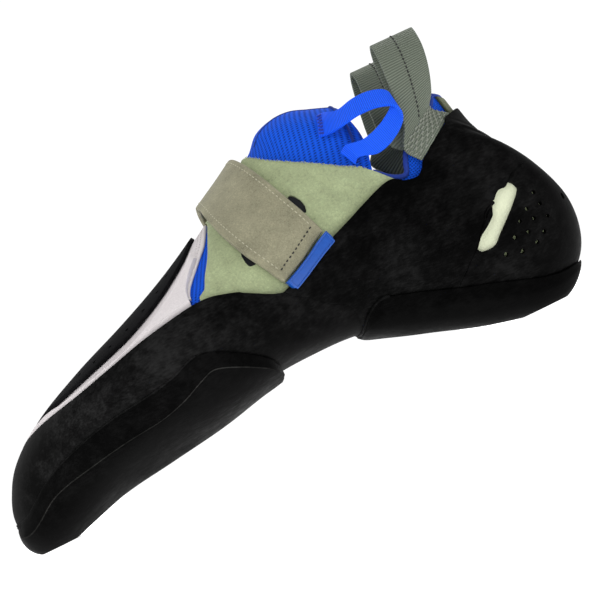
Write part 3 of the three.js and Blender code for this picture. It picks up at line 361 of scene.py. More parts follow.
def last_point(section, around):
    """Points of the last."""
    section, around = np.broadcast_arrays(np.asarray(section, float), np.asarray(around, float))
    oval = spline(SECTIONS, section + 1)
    bx, bz, tx, tz, keel, lateral, medial, widest, low, high, roll = (oval[..., k] for k in range(11))
    turn = np.where(around > 1, around - 2, np.where(around < -1, around + 2, around))
    angle = np.abs(turn) * math.pi
    lower = angle <= math.pi / 2
    power = 2 / np.where(lower, low, high)
    side = np.abs(np.sin(angle)) ** power
    level = np.abs(np.cos(angle)) ** power
    height = np.hypot(tx - bx, tz - bz)
    width = np.where(turn < 0, -lateral, medial) * side
    rise = np.where(lower, -widest * level, (1 - widest) * level) * height
    y = width * np.cos(roll) + rise * np.sin(roll)
    up = rise * np.cos(roll) - width * np.sin(roll)
    share = np.where(height > 1e-9, up / np.maximum(height, 1e-9) + widest, 0)
    place = np.stack([bx + (tx - bx) * share, keel + y, bz + (tz - bz) * share], -1)
    return place + np.array(LAST_ORIGIN)


def last_normal(section, around):
    """The last's outward directions."""
    step = 0.02
    section, around = np.broadcast_arrays(np.asarray(section, float), np.asarray(around, float))
    along = last_point(section + step, around) - last_point(np.maximum(section - step, 0), around)
    across = last_point(section, around + step / 2) - last_point(section, around - step / 2)
    normal = np.cross(across, along)
    size = np.linalg.norm(normal, axis=-1, keepdims=True)
    return np.where(size > 1e-12, normal / np.maximum(size, 1e-15), (-1.0, 0.0, 0.0))


def crease_relief(section, around):
    """How far the creases push the surface in, and their ridges out."""
    section, around = np.broadcast_arrays(np.asarray(section, float), np.abs(np.asarray(around, float)))
    place = np.stack([section * SECTION_STEP, np.where(around > 1, 2 - around, around) * HALF_GIRTH], -1)
    relief = np.zeros(section.shape)
    for path, width, depth in CREASES:
        run = spline(path, np.linspace(0, len(path) - 1, 12)) * (SECTION_STEP, HALF_GIRTH)
        away = np.full(section.shape, np.inf)
        fade = np.zeros(section.shape)
        for k, (a, b) in enumerate(zip(run[:-1], run[1:])):
            share = np.clip(((place - a) @ (b - a)) / ((b - a) @ (b - a)), 0, 1)
            gap = np.linalg.norm(place - a - share[..., None] * (b - a), axis=-1)
            ahead = (k + share) / (len(run) - 1)
            fade = np.where(gap < away, np.sin(math.pi * (0.08 + 0.84 * ahead)), fade)
            away = np.minimum(away, gap)
        wave = (away / width) ** 2
        relief += depth * fade * (0.9 * wave - 1) * np.exp(-wave)
    return relief


def skin(section, around, offset):
    """Points at a distance from the last, outwards, with the creases."""
    offset = (np.asarray(offset, float) + crease_relief(section, around))[..., None]
    return last_point(section, around) + last_normal(section, around) * offset


def line(rows):
    """A border as a function of its first column, smooth through the rows."""
    dense = spline(rows, np.linspace(0, len(rows) - 1, 10 * len(rows)))
    return lambda at: np.interp(at, dense[:, 0], dense[:, 1])


def constant(value):
    return lambda at: np.full(np.shape(at), float(value))


def region(start, end, low, high, shape):
    """A grid of places inside four borders: start and end by around, low and high by section."""
    u = np.linspace(0, 1, shape[0])[:, None]
    v = np.linspace(0, 1, shape[1])[None, :]
    section = np.broadcast_to(np.float64(9), (shape[0], shape[1]))
    for _ in range(30):
        around = low(section) + v * (high(section) - low(section))
        folded = np.where(np.abs(around) > 1, 2 - np.abs(around), np.abs(around))
        section = start(folded) + u * (end(folded) - start(folded))
    return section, around


def ring_region(start, end, edge, shape):
    """A region that runs under the foot from a border to the same border on the other side."""
    return region(start, end, lambda s: -edge(s), edge, shape)


def top_region(start, end, edge, shape):
    """A region that runs over the foot from a border to the same border on the other side."""
    return region(start, end, edge, lambda s: 2 - edge(s), shape)


def slot_region(rows, side, grow=0.0):
    """The places of an opening, grown by a share around."""
    fine = spline(rows, np.linspace(0, len(rows) - 1, 40))
    t = np.linspace(0, 1, 7)[None, :]
    low = fine[:, 1:2] - grow
    high = fine[:, 2:3] + grow
    section = np.broadcast_to(fine[:, 0:1], (40, 7))
    return section, side * (low + (high - low) * t)


# Meshes

def deselect():
    if bpy.context.mode != "OBJECT":
        bpy.ops.object.mode_set(mode="OBJECT")
    bpy.ops.object.select_all(action="DESELECT")


def activate(piece):
    deselect()
    piece.select_set(True)
    bpy.context.view_layer.objects.active = piece


def apply_modifier(piece, kind, **settings):
    """Adds a modifier with its settings and applies it."""
    activate(piece)
    modifier = piece.modifiers.new(kind.title(), kind)
    for key, value in settings.items():
        setattr(modifier, key, value)
    bpy.ops.object.modifier_apply(modifier=modifier.name)


def smooth(piece, angle=35):
    activate(piece)
    bpy.ops.object.shade_smooth_by_angle(angle=math.radians(angle))


def finish_piece(piece, material, slot, *nodes):
    """Gives a piece its material, hides the frame's parts that it stands for and attaches it to the root body."""
    piece.data.materials.clear()
    piece.data.materials.append(material)
    if nodes:
        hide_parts(*nodes)
    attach(piece, "root")
    return piece


def grid_shape(points):
    """Rows and columns that give cells of the chosen size on a coarse grid of points."""
    long = np.linalg.norm(np.diff(points, axis=0), axis=-1).sum(0).max()
    wide = np.linalg.norm(np.diff(points, axis=1), axis=-1).sum(1).max()
    cell = sizes().cell
    return max(int(long / cell), 2) + 1, max(int(wide / cell), 2) + 1


def surface(name, points):
    """A grid placed on rows of points, with a UV map in metres along its rows and columns."""
    rows, columns = points.shape[:2]
    deselect()
    bpy.ops.mesh.primitive_grid_add(x_subdivisions=columns - 1, y_subdivisions=rows - 1, size=2)
    piece = bpy.context.object
    piece.name = name
    piece.data.name = name
    mesh = piece.data
    flat = np.empty(len(mesh.vertices) * 3)
    mesh.vertices.foreach_get("co", flat)
    flat = flat.reshape(-1, 3)
    column = np.rint((flat[:, 0] + 1) / 2 * (columns - 1)).astype(int)
    row = np.rint((flat[:, 1] + 1) / 2 * (rows - 1)).astype(int)
    mesh.vertices.foreach_set("co", points[row, column].ravel())
    along = np.zeros((rows, columns))
    along[1:] = np.cumsum(np.linalg.norm(np.diff(points, axis=0), axis=-1), axis=0)
    across = np.zeros((rows, columns))
    across[:, 1:] = np.cumsum(np.linalg.norm(np.diff(points, axis=1), axis=-1), axis=1)
    along = np.broadcast_to(along[:, columns // 2][:, None], along.shape)
    across = across - across[:, columns // 2][:, None]
    corner = np.empty(len(mesh.loops), int)
    mesh.loops.foreach_get("vertex_index", corner)
    chart = np.stack([across[row, column], along[row, column]], -1)[corner]
    mesh.uv_layers[0].data.foreach_set("uv", chart.ravel())
    place = mesh.attributes.new("place", "INT", "POINT")
    place.data.foreach_set("value", (row * columns + column).astype(np.int32))
    mesh.update()
    return piece


def shell(name, outer, inner, rounding=None, segments=2):
    """A closed wall between two grids of points, with its edges rounded."""
    piece = surface(name, outer)
    wall = float(np.linalg.norm(outer - inner, axis=-1).max())
    activate(piece)
    bpy.ops.object.mode_set(mode="EDIT")
    bpy.ops.mesh.select_all(action="SELECT")
    bpy.ops.mesh.remove_doubles(threshold=2e-6)
    bpy.ops.object.mode_set(mode="OBJECT")
    count = len(piece.data.vertices)
    points = outer.reshape(-1, 3)
    depth = (inner - outer).reshape(-1, 3)
    centre = len(piece.data.polygons) // 2
    face = piece.data.polygons[centre]
    place = piece.data.attributes["place"].data
    inward = depth[place[face.vertices[0]].value]
    if face.normal.dot(Vector(inward)) > 0:
        bpy.ops.object.mode_set(mode="EDIT")
        bpy.ops.mesh.flip_normals()
        bpy.ops.object.mode_set(mode="OBJECT")
    apply_modifier(piece, "SOLIDIFY", thickness=wall, offset=-1)
    mesh = piece.data
    index = np.empty(len(mesh.vertices), np.int32)
    mesh.attributes["place"].data.foreach_get("value", index)
    own = np.arange(len(index)) >= count
    mesh.vertices.foreach_set("co", (points[index] + depth[index] * own[:, None]).ravel())
    mesh.attributes.remove(mesh.attributes["place"])
    mesh.update()
    if rounding is None:
        rounding = sizes().edge_round
    if rounding:
        apply_modifier(
            piece, "BEVEL", width=rounding, segments=segments, limit_method="ANGLE",
            angle_limit=math.radians(50), harden_normals=False)
    smooth(piece)
    return piece


def layer_piece(name, builder, inner, outer, rounding=None):
    """A wall of even thickness over a region; builder gives the region's places for a grid shape."""
    coarse = skin(*builder((24, 24)), outer)
    section, around = builder(grid_shape(coarse))
    return shell(name, skin(section, around, outer), skin(section, around, inner), rounding)


def cut(piece, cutter, overlapping=False):
    """Cuts one closed mesh out of another and deletes the cutter."""
    apply_modifier(piece, "BOOLEAN", object=cutter, operation="DIFFERENCE", solver="EXACT",
                   use_self=overlapping)
    bpy.data.objects.remove(cutter, do_unlink=True)


def bead(name, path, radius, closed=False, sides=10):
    """A round cord of thread or piping along a path of points."""
    curve = bpy.data.curves.new(name, "CURVE")
    curve.dimensions = "3D"
    curve.bevel_depth = radius
    curve.bevel_resolution = max(sides // 4, 1)
    curve.use_fill_caps = True
    run = curve.splines.new("POLY")
    run.points.add(len(path) - 1)
    for point, place in zip(run.points, path):
        point.co = (*place, 1)
    run.use_cyclic_u = closed
    piece = bpy.data.objects.new(name, curve)
    bpy.context.collection.objects.link(piece)
    activate(piece)
    bpy.ops.object.convert(target="MESH")
    smooth(piece, 60)
    return piece


def resample(path, step):
    """Points at an even step along a path, and the direction at each."""
    path = np.asarray(path, float)
    length = np.concatenate([[0], np.cumsum(np.linalg.norm(np.diff(path, axis=0), axis=-1))])
    count = max(int(length[-1] / step), 1)
    at = (np.arange(count) + 0.5) * length[-1] / count
    place = np.stack([np.interp(at, length, path[:, k]) for k in range(3)], -1)
    ahead = np.stack([np.interp(at + step / 4, length, path[:, k]) for k in range(3)], -1)
    back = np.stack([np.interp(at - step / 4, length, path[:, k]) for k in range(3)], -1)
    way = ahead - back
    return place, way / np.maximum(np.linalg.norm(way, axis=-1, keepdims=True), 1e-12)


def stitches(name, paths, ups, length, pitch, radius):
    """Runs of stitches along paths: one rounded thread, modelled once and copied."""
    deselect()
    bpy.ops.mesh.primitive_uv_sphere_add(segments=8, ring_count=6, radius=1)
    seed = bpy.context.object
    shape = np.array([v.co[:] for v in seed.data.vertices])
    faces = [tuple(p.vertices) for p in seed.data.polygons]
    bpy.data.objects.remove(seed, do_unlink=True)
    corners = []
    loops = []
    for path, up in zip(paths, ups):
        places, ways = resample(path, pitch)
        for place, way in zip(places, ways):
            side = np.cross(up(place) if callable(up) else up, way)
            side = side / max(np.linalg.norm(side), 1e-9)
            top = np.cross(way, side)
            turned = (shape[:, 2:3] * way * length / 2 + shape[:, 0:1] * side * radius
                      + shape[:, 1:2] * top * radius)
            start = len(corners) * len(shape)
            corners.append(place + turned)
            loops += [tuple(start + k for k in face) for face in faces]
    mesh = bpy.data.meshes.new(name)
    mesh.from_pydata(np.concatenate(corners).tolist(), [], loops)
    piece = bpy.data.objects.new(name, mesh)
    bpy.context.collection.objects.link(piece)
    activate(piece)
    bpy.ops.object.shade_smooth()
    return piece


# Materials

def add(tree, kind, inputs=(), **settings):
    """Adds a node with its settings, and sets or links its inputs."""
    node = tree.nodes.new(kind)
    for key, value in settings.items():
        setattr(node, key, value)
    for key, value in dict(inputs).items():
        if isinstance(value, bpy.types.NodeSocket):
            tree.links.new(value, node.inputs[key])
        else:
            node.inputs[key].default_value = value
    return node


def new_material(name):
    material = bpy.data.materials.new(name)
    material.use_nodes = True
    tree = material.node_tree
    tree.nodes.clear()
    output = add(tree, "ShaderNodeOutputMaterial")
    shader = add(tree, "ShaderNodeBsdfPrincipled")
    tree.links.new(shader.outputs[0], output.inputs[0])
    return material, tree, shader


def shade(colour, factor):
    return (*(min(c * factor, 1) for c in colour), 1)


def ramp(tree, factor, stops):
    """A colour ramp through (position, colour) stops."""
    node = add(tree, "ShaderNodeValToRGB", {0: factor})
    elements = node.color_ramp.elements
    while len(elements) < len(stops):
        elements.new(0.5)
    for element, (position, colour) in zip(elements, stops):
        element.position = position
        element.color = colour
    return node.outputs[0]


def rubber_material(name, colour, roughness, dust_and_highlight):
    """Vulcanised rubber, ground and glued: near black and matt, with clouds of grey powder and fine grit, and a
    painted highlight towards the toe and high on the sides.
    """
    material, tree, shader = new_material(name)
    place = add(tree, "ShaderNodeTexCoord").outputs["Object"]
    clouds = add(tree, "ShaderNodeTexNoise", {"Vector": place, "Scale": 38, "Detail": 7, "Roughness": 0.62})
    # Grit marks are about 0.5 mm wide and drawn out along the shoe by the grinding belt.
    belt = add(tree, "ShaderNodeMapping", {
        "Vector": place, "Rotation": (0, math.radians(-18), 0), "Scale": (0.3, 1, 1)})
    grit = add(tree, "ShaderNodeTexNoise", {"Vector": belt.outputs[0], "Scale": 1500, "Detail": 4})
    mottle = add(tree, "ShaderNodeTexNoise", {"Vector": place, "Scale": 300, "Detail": 5, "Roughness": 0.7})
    fine = add(tree, "ShaderNodeMix", {0: 0.5, 2: grit.outputs[0], 3: mottle.outputs[0]})
    both = add(tree, "ShaderNodeMix", {0: 0.45, 2: clouds.outputs[0], 3: fine.outputs[0]})
    dark = ramp(tree, both.outputs[0], [
        (0.42, shade(colour, 0.4)), (0.48, shade(colour, 0.8)), (0.53, shade(colour, 1.0 + 0.5 * dust_and_highlight)),
        (0.60, shade(colour, 1.0 + 2 * dust_and_highlight))])
    dusty_highlight = ramp(tree, both.outputs[0], [
        (0.42, shade(colour, 1.2)), (0.49, shade(colour, 1.0 + 2 * dust_and_highlight)), (0.53, shade(colour, 1.0 + 4 * dust_and_highlight)),
        (0.60, shade(colour, 1.0 + 7 * dust_and_highlight))])
    # The rubber is painted lighter towards the toe and high on the sides: a painted highlight where the light falls
    # on the forefoot, over the same clouds as elsewhere.
    axes = add(tree, "ShaderNodeSeparateXYZ", {"Vector": place})
    ahead = add(tree, "ShaderNodeMapRange", {
        "Value": axes.outputs["X"], "From Min": -0.1, "From Max": -0.01, "To Min": 1.0, "To Max": 0.0})
    high = add(tree, "ShaderNodeMapRange", {
        "Value": axes.outputs["Z"], "From Min": 0.008, "From Max": 0.035, "To Min": 0.25, "To Max": 1.0})
    highlight_mask = add(tree, "ShaderNodeMath", {0: ahead.outputs[0], 1: high.outputs[0]}, operation="MULTIPLY")
    # The mask mixes the darker copy with the lighter, painted-highlight copy.
    base = add(tree, "ShaderNodeMix", {0: highlight_mask.outputs[0], 6: dark, 7: dusty_highlight}, data_type="RGBA").outputs[2]
    tree.links.new(base, shader.inputs["Base Color"])
    rough = add(tree, "ShaderNodeMapRange", {
        "Value": both.outputs[0], "From Min": 0.4, "From Max": 0.62,
        "To Min": roughness - 0.14, "To Max": roughness + 0.12})
    tree.links.new(rough.outputs[0], shader.inputs["Roughness"])
    dents = add(tree, "ShaderNodeBump", {"Height": clouds.outputs[0], "Strength": 0.35, "Distance": 0.0012})
    bump = add(tree, "ShaderNodeBump", {
        "Height": fine.outputs[0], "Normal": dents.outputs[0], "Strength": 0.35, "Distance": 0.00018})
    tree.links.new(bump.outputs[0], shader.inputs["Normal"])
    shader.inputs["IOR"].default_value = 1.52
    shader.inputs["Specular IOR Level"].default_value = 0.012
    return material


def suede_material(name, colour, nap, fibre=0.0007):
    """Split leather brushed to a nap: matt, with clouds where the nap lies over and speckled fibres."""
    material, tree, shader = new_material(name)
    place = add(tree, "ShaderNodeTexCoord").outputs["Object"]
    clouds = add(tree, "ShaderNodeTexNoise", {"Vector": place, "Scale": 110, "Detail": 5, "Roughness": 0.62})
    fibres = add(tree, "ShaderNodeTexNoise", {
        "Vector": place, "Scale": 1 / fibre, "Detail": 5, "Roughness": 0.75, "Distortion": 0.6})
    both = add(tree, "ShaderNodeMix", {0: 0.6, 2: clouds.outputs[0], 3: fibres.outputs[0]})
    base = ramp(tree, both.outputs[0], [
        (0.34, shade(colour, 1 - 1.6 * nap)), (0.44, shade(colour, 1 - 0.5 * nap)), (0.54, shade(colour, 1)),
        (0.66, shade(colour, 1 + 1.2 * nap))])
    tree.links.new(base, shader.inputs["Base Color"])
    bump = add(tree, "ShaderNodeBump", {"Height": both.outputs[0], "Strength": 0.7, "Distance": 0.0005})
    tree.links.new(bump.outputs[0], shader.inputs["Normal"])
    shader.inputs["Roughness"].default_value = 0.95
    shader.inputs["Specular IOR Level"].default_value = 0.1
    shader.inputs["Sheen Weight"].default_value = 0.12
    shader.inputs["Sheen Roughness"].default_value = 0.5
    return material


def microfibre_material(name, colour):
    """Pressed microfibre: smooth and matt, with a fine even grain."""
    material, tree, shader = new_material(name)
    place = add(tree, "ShaderNodeTexCoord").outputs["Object"]
    grain = add(tree, "ShaderNodeTexNoise", {"Vector": place, "Scale": 1800, "Detail": 3})
    base = ramp(tree, grain.outputs[0], [(0.35, shade(colour, 0.93)), (0.65, shade(colour, 1.03))])
    tree.links.new(base, shader.inputs["Base Color"])
    bump = add(tree, "ShaderNodeBump", {"Height": grain.outputs[0], "Strength": 0.2, "Distance": 0.0001})
    tree.links.new(bump.outputs[0], shader.inputs["Normal"])
    shader.inputs["Roughness"].default_value = 0.8
    shader.inputs["Specular IOR Level"].default_value = 0.25
    return material


def knit_material(name, colour, pitch):
    """Spacer mesh knitted from filament yarn: rows of small slanted holes in a soft ribbed face."""
    material, tree, shader = new_material(name)
    chart = add(tree, "ShaderNodeUVMap").outputs[0]
    scaled = add(tree, "ShaderNodeMapping", {
        "Vector": chart, "Rotation": (0, 0, math.radians(62)), "Scale": (1.15 / pitch, 0.6 / pitch, 1)})
    holes = add(
        tree, "ShaderNodeTexVoronoi", {"Vector": scaled.outputs[0], "Scale": 1, "Randomness": 0.0},
        feature="F1", distance="EUCLIDEAN")
    staggered = add(tree, "ShaderNodeVectorMath", {0: scaled.outputs[0], 1: (0.5, 0.5, 0)})
    more = add(
        tree, "ShaderNodeTexVoronoi", {"Vector": staggered.outputs[0], "Scale": 1, "Randomness": 0.0},
        feature="F1", distance="EUCLIDEAN")
    nearest = add(tree, "ShaderNodeMath", {0: holes.outputs[0], 1: more.outputs[0]}, operation="MINIMUM")
    place = add(tree, "ShaderNodeTexCoord").outputs["Object"]
    fuzz = add(tree, "ShaderNodeTexNoise", {"Vector": place, "Scale": 1200, "Detail": 3})
    yarn = add(tree, "ShaderNodeMath", {0: fuzz.outputs[0], 1: 0.16}, operation="MULTIPLY")
    height = add(tree, "ShaderNodeMath", {0: nearest.outputs[0], 1: yarn.outputs[0]}, operation="ADD")
    base = ramp(tree, height.outputs[0], [
        (0.14, shade(colour, 0.12)), (0.22, shade(colour, 0.55)), (0.34, shade(colour, 0.95)),
        (0.60, shade(colour, 1.2))])
    tree.links.new(base, shader.inputs["Base Color"])
    bump = add(tree, "ShaderNodeBump", {"Height": height.outputs[0], "Strength": 0.9, "Distance": 0.0006})
    tree.links.new(bump.outputs[0], shader.inputs["Normal"])
    shader.inputs["Roughness"].default_value = 0.8
    shader.inputs["Specular IOR Level"].default_value = 0.12
    return material


def ribbon_material(name, colour, rib, contrast):
    """Woven polyester ribbon: ribs across its length, with the sheen of filament yarn."""
    material, tree, shader = new_material(name)
    chart = add(tree, "ShaderNodeUVMap").outputs[0]
    ribs = add(
        tree, "ShaderNodeTexWave", {"Vector": chart, "Scale": math.tau / (20 * rib), "Distortion": 0.0},
        wave_type="BANDS", bands_direction="Y", wave_profile="SIN")
    base = ramp(tree, ribs.outputs[1], [
        (0.1, shade(colour, 1 - contrast)), (0.6, shade(colour, 1)), (0.95, shade(colour, 1 + contrast / 2))])
    tree.links.new(base, shader.inputs["Base Color"])
    bump = add(tree, "ShaderNodeBump", {"Height": ribs.outputs[1], "Strength": 0.6, "Distance": 0.00025})
    tree.links.new(bump.outputs[0], shader.inputs["Normal"])
    shader.inputs["Roughness"].default_value = 0.6
    shader.inputs["Specular IOR Level"].default_value = 0.2
    return material


def plain_material(name, colour, roughness, comment_bump=0.0):
    """Moulded or spun goods of one colour: tab rubber and thread."""
    material, tree, shader = new_material(name)
    place = add(tree, "ShaderNodeTexCoord").outputs["Object"]
    grain = add(tree, "ShaderNodeTexNoise", {"Vector": place, "Scale": 700, "Detail": 2})
    base = ramp(tree, grain.outputs[0], [(0.3, shade(colour, 0.93)), (0.7, shade(colour, 1.05))])
    tree.links.new(base, shader.inputs["Base Color"])
    bump = add(tree, "ShaderNodeBump", {
        "Height": grain.outputs[0], "Strength": 0.1 + comment_bump, "Distance": 0.0001})
    tree.links.new(bump.outputs[0], shader.inputs["Normal"])
    shader.inputs["Roughness"].default_value = roughness
    return material


# Operators

class ShoeOperator:
    bl_options = {"REGISTER", "UNDO"}


class CLIMBING_OT_stage(ShoeOperator, bpy.types.Operator):
    """Sets the camera, the floor and the soft studio light"""
    bl_idname = "climbing_shoe.stage"
    bl_label = "Stage"

    def execute(self, context):
        flat = Vector((math.sin(CAMERA_AZIMUTH), -math.cos(CAMERA_AZIMUTH), 0)) * CAMERA_DISTANCE
        stand = Vector((CAMERA_AIM.x + flat.x, CAMERA_AIM.y + flat.y, CAMERA_HEIGHT))
        ahead = CAMERA_AIM - stand
        distance = ahead.length
        ahead.normalize()
        level = ahead.cross(Vector((0, 0, 1))).normalized()
        upright = level.cross(ahead)
        right = level * math.cos(CAMERA_ROLL) - upright * math.sin(CAMERA_ROLL)
        up = level * math.sin(CAMERA_ROLL) + upright * math.cos(CAMERA_ROLL)
        bpy.ops.object.camera_add(location=stand)
        camera = context.object
        camera.matrix_world = Matrix.Translation(stand) @ Matrix((right, up, -ahead)).transposed().to_4x4()
        camera.data.sensor_width = SENSOR
        camera.data.lens = SENSOR * distance / (FRAME_PIXELS * PIXEL_SIZE)
        camera.data.clip_start = 0.01
        context.scene.camera = camera

        bpy.ops.mesh.primitive_plane_add(size=14, location=(0, 0, 0))
        floor = context.object
        floor.name = "floor"
        material, tree, shader = new_material("white_paper")
        shader.inputs["Base Color"].default_value = (0.9, 0.9, 0.9, 1)
        shader.inputs["Roughness"].default_value = 0.9
        shader.inputs["Specular IOR Level"].default_value = 0.0
        shader.inputs["Emission Color"].default_value = (1, 1, 1, 1)
        # The paper glows evenly, except around the toe's contact spot: there its glow fades, a painted shadow that
        # also lets the real contact shadow show.
        place = add(tree, "ShaderNodeTexCoord").outputs["Object"]
        toe = add(tree, "ShaderNodeVectorMath", {0: place, 1: TOE_CONTACT}, operation="DISTANCE")
        glow_painted_shadow = add(tree, "ShaderNodeMapRange", {
            "Value": toe.outputs["Value"], "From Min": 0.004, "From Max": 0.012, "To Min": 0.2, "To Max": 1.0})
        tree.links.new(glow_painted_shadow.outputs[0], shader.inputs["Emission Strength"])
        floor.data.materials.append(material)

        bpy.ops.mesh.primitive_plane_add(size=8, location=(0, 2.2, 0), rotation=(math.radians(90), 0, 0))
        backdrop = context.object
        backdrop.name = "backdrop"
        material, tree, shader = new_material("lit_backdrop")
        shader.inputs["Base Color"].default_value = (0, 0, 0, 1)
        shader.inputs["Specular IOR Level"].default_value = 0.0
        shader.inputs["Emission Color"].default_value = (1, 1, 1, 1)
        shader.inputs["Emission Strength"].default_value = 1.05
        backdrop.data.materials.append(material)

        world = bpy.data.worlds.new("studio")
        context.scene.world = world
        world.use_nodes = True
        world.node_tree.nodes["Background"].inputs[0].default_value = (1, 1, 1, 1)
        world.node_tree.nodes["Background"].inputs[1].default_value = 0.42

        for name, place, size, power in (
                ("key", (-0.5, -0.9, 1.1), 0.7, 7.5), ("rim", (0.55, 0.35, 0.9), 0.5, 5),
                ("front", (-0.9, -0.4, 0.35), 0.5, 1.6)):
            bpy.ops.object.light_add(type="AREA", location=place)
            light = context.object
            light.name = name
            light.data.size = size
            light.data.energy = power
            toward = Vector((0, 0, 0.05)) - Vector(place)
            light.rotation_euler = toward.to_track_quat("-Z", "Y").to_euler()
        context.scene.view_settings.view_transform = "Standard"
        return {"FINISHED"}


class CLIMBING_OT_sock(ShoeOperator, bpy.types.Operator):
    """Makes the mesh sock that lines the whole shoe"""
    bl_idname = "climbing_shoe.sock"
    bl_label = "Mesh sock"

    def execute(self, context):
        knit = knit_material("blue_spacer_mesh", colours().mesh, sizes().knit)
        lining = plain_material("lining_jersey", linear("#0c2f86"), 0.9)
        edge = line(THROAT_EDGE)

        def places(shape):
            return ring_region(constant(0), constant(LAST_SECTION), edge, shape)
        sock = layer_piece("sock", places, *SOCK, rounding=0.0003)
        finish_piece(sock, knit, "mesh", "upper")

        section = np.linspace(11.4, LAST_SECTION, 90)
        for name, side in (("collar_binding_outer", -1), ("collar_binding_inner", 1)):
            rim = skin(section, side * edge(section), 0.0007)
            binding = bead(name, rim, 0.0011)
            finish_piece(binding, lining, "mesh", "upper")
        around = np.linspace(-float(edge(LAST_SECTION)), float(edge(LAST_SECTION)), 40)
        rim = skin(LAST_SECTION, around, 0.0007)
        finish_piece(bead("collar_binding_rear", rim, 0.0011), lining, "mesh", "upper")
        return {"FINISHED"}


def vamp_lift(section, around):
    """How far the padded vamp stands up in the groove between the toe patch and the rand."""
    turn = np.where(around > 1, 2 - around, around)
    above = (turn - line(RAND_TOP)(section)) / 0.03
    below = (line(PATCH_EDGE)(section) - turn) / 0.03
    inside = np.clip(np.minimum(above, below), 0, 1)
    return VAMP_RISE * inside * inside * (3 - 2 * inside) * (section < 6.6)


class CLIMBING_OT_upper(ShoeOperator, bpy.types.Operator):
    """Makes the vamp, the suede quarter and the heel tab"""
    bl_idname = "climbing_shoe.upper"
    bl_label = "Upper"

    def execute(self, context):
        pale = microfibre_material("pressed_microfibre", colours().vamp)
        suede = suede_material("green_suede", colours().suede, 0.26, 0.0009)
        # A near-black colour for the strap slot's inside: painted shade.
        dark = plain_material("slot_painted_shade", linear("#05070f"), 0.9)

        def vamp_places(shape):
            return region(constant(1.6), line(VAMP_REAR), constant(0.48), constant(1.52), shape)
        coarse = skin(*vamp_places((24, 24)), VAMP[1])
        section, around = vamp_places(grid_shape(coarse))
        lift = vamp_lift(section, around)
        vamp = shell("vamp", skin(section, around, VAMP[1] + lift), skin(section, around, VAMP[0]), 0.0002)
        finish_piece(vamp, pale, "microfibre", "upper")

        def quarter_places(shape):
            return ring_region(line(SUEDE_FRONT), constant(17.0), line(SUEDE_TOP), shape)
        quarter = layer_piece("quarter", quarter_places, *SUEDE, rounding=0.00025)
        section, around = slot_region(STRAP_SLOT, -1)
        cutter = shell("slot_cutter", skin(section, around, 0.005), skin(section, around, 0.0002), 0)
        cut(quarter, cutter, overlapping=True)
        smooth(quarter)
        finish_piece(quarter, suede, "suede", "upper")

        # Behind the strap slot lies a near-black sheet: painted shade, standing in for the blue lining in shadow
        # there.
        section, around = slot_region(STRAP_SLOT, -1, 0.006)
        shade_sheet = shell("slot_shade_sheet", skin(section, around, 0.00125), skin(section, around, 0.00095), 0)
        finish_piece(shade_sheet, dark, "mesh", "upper")

        def tab_places(shape):
            return ring_region(constant(16.5), constant(17.93), constant(0.30), shape)
        heel_tab = layer_piece("heel_tab", tab_places, *SUEDE, rounding=0.0003)
        # The heel tab is a darker olive suede than the quarter.
        other_tone = suede_material("olive_suede", linear("#5a5f44"), 0.3)
        finish_piece(heel_tab, other_tone, "suede", "upper")

        # Loose fibres stand up along the suede's cut top edge.
        section = np.repeat(np.linspace(9.0, 11.3, 170), 2)
        chance = np.random.default_rng(7)
        section = section + chance.normal(0, 0.01, section.shape)
        edge = line(SUEDE_TOP)
        fibres = []
        for side in (-1, 1):
            root = skin(section, side * (edge(section) - 0.004), SUEDE[1] - 0.0001)
            tip = skin(section + chance.normal(0, 0.03, section.shape),
                       side * (edge(section) + chance.uniform(0.002, 0.012, section.shape)), SUEDE[1] + 0.0003)
            fibres += [np.array(pair) for pair in zip(root, tip)]
        fuzz = stitches("suede_fibres", fibres, [Vector((0, 0.3, 1))] * len(fibres), 0.0011, 0.01, 0.00009)
        finish_piece(fuzz, suede, "suede", "upper")

        # Two rows of stitches and a thin piping follow the vamp's rear edge.
        rear = line(VAMP_REAR)
        around = np.linspace(0.60, 0.93, 60)
        thread = plain_material("grey_vamp_thread", linear("#a9a4a4"), 0.8)
        seams = []
        for back in (0.09, 0.19):
            for side in (-1, 1):
                seams.append(skin(rear(around) - back, side * around, VAMP[1]))
        finish_piece(stitches("vamp_stitches", seams, [Vector((0, 0, 1))] * len(seams), 0.0011, 0.0019, 0.00018),
                     thread, "microfibre", "upper")
        for name, side in (("vamp_piping_outer", -1), ("vamp_piping_inner", 1)):
            piping = bead(name, skin(rear(around), side * around, 0.0014), 0.0007)
            finish_piece(piping, pale, "microfibre", "upper")
        return {"FINISHED"}


def swell(section, around):
    """How far the tongue stands out of the throat."""
    inside = (np.abs(around) - line(THROAT_EDGE)(section) - 0.06) / 0.16
    inside = np.clip(inside, 0, 1)
    ahead = np.clip((section - 9.2) / 1.0, 0, 1)
    return DOME_RISE * (ahead ** 2 * (3 - 2 * ahead)) * (inside ** 2 * (3 - 2 * inside))


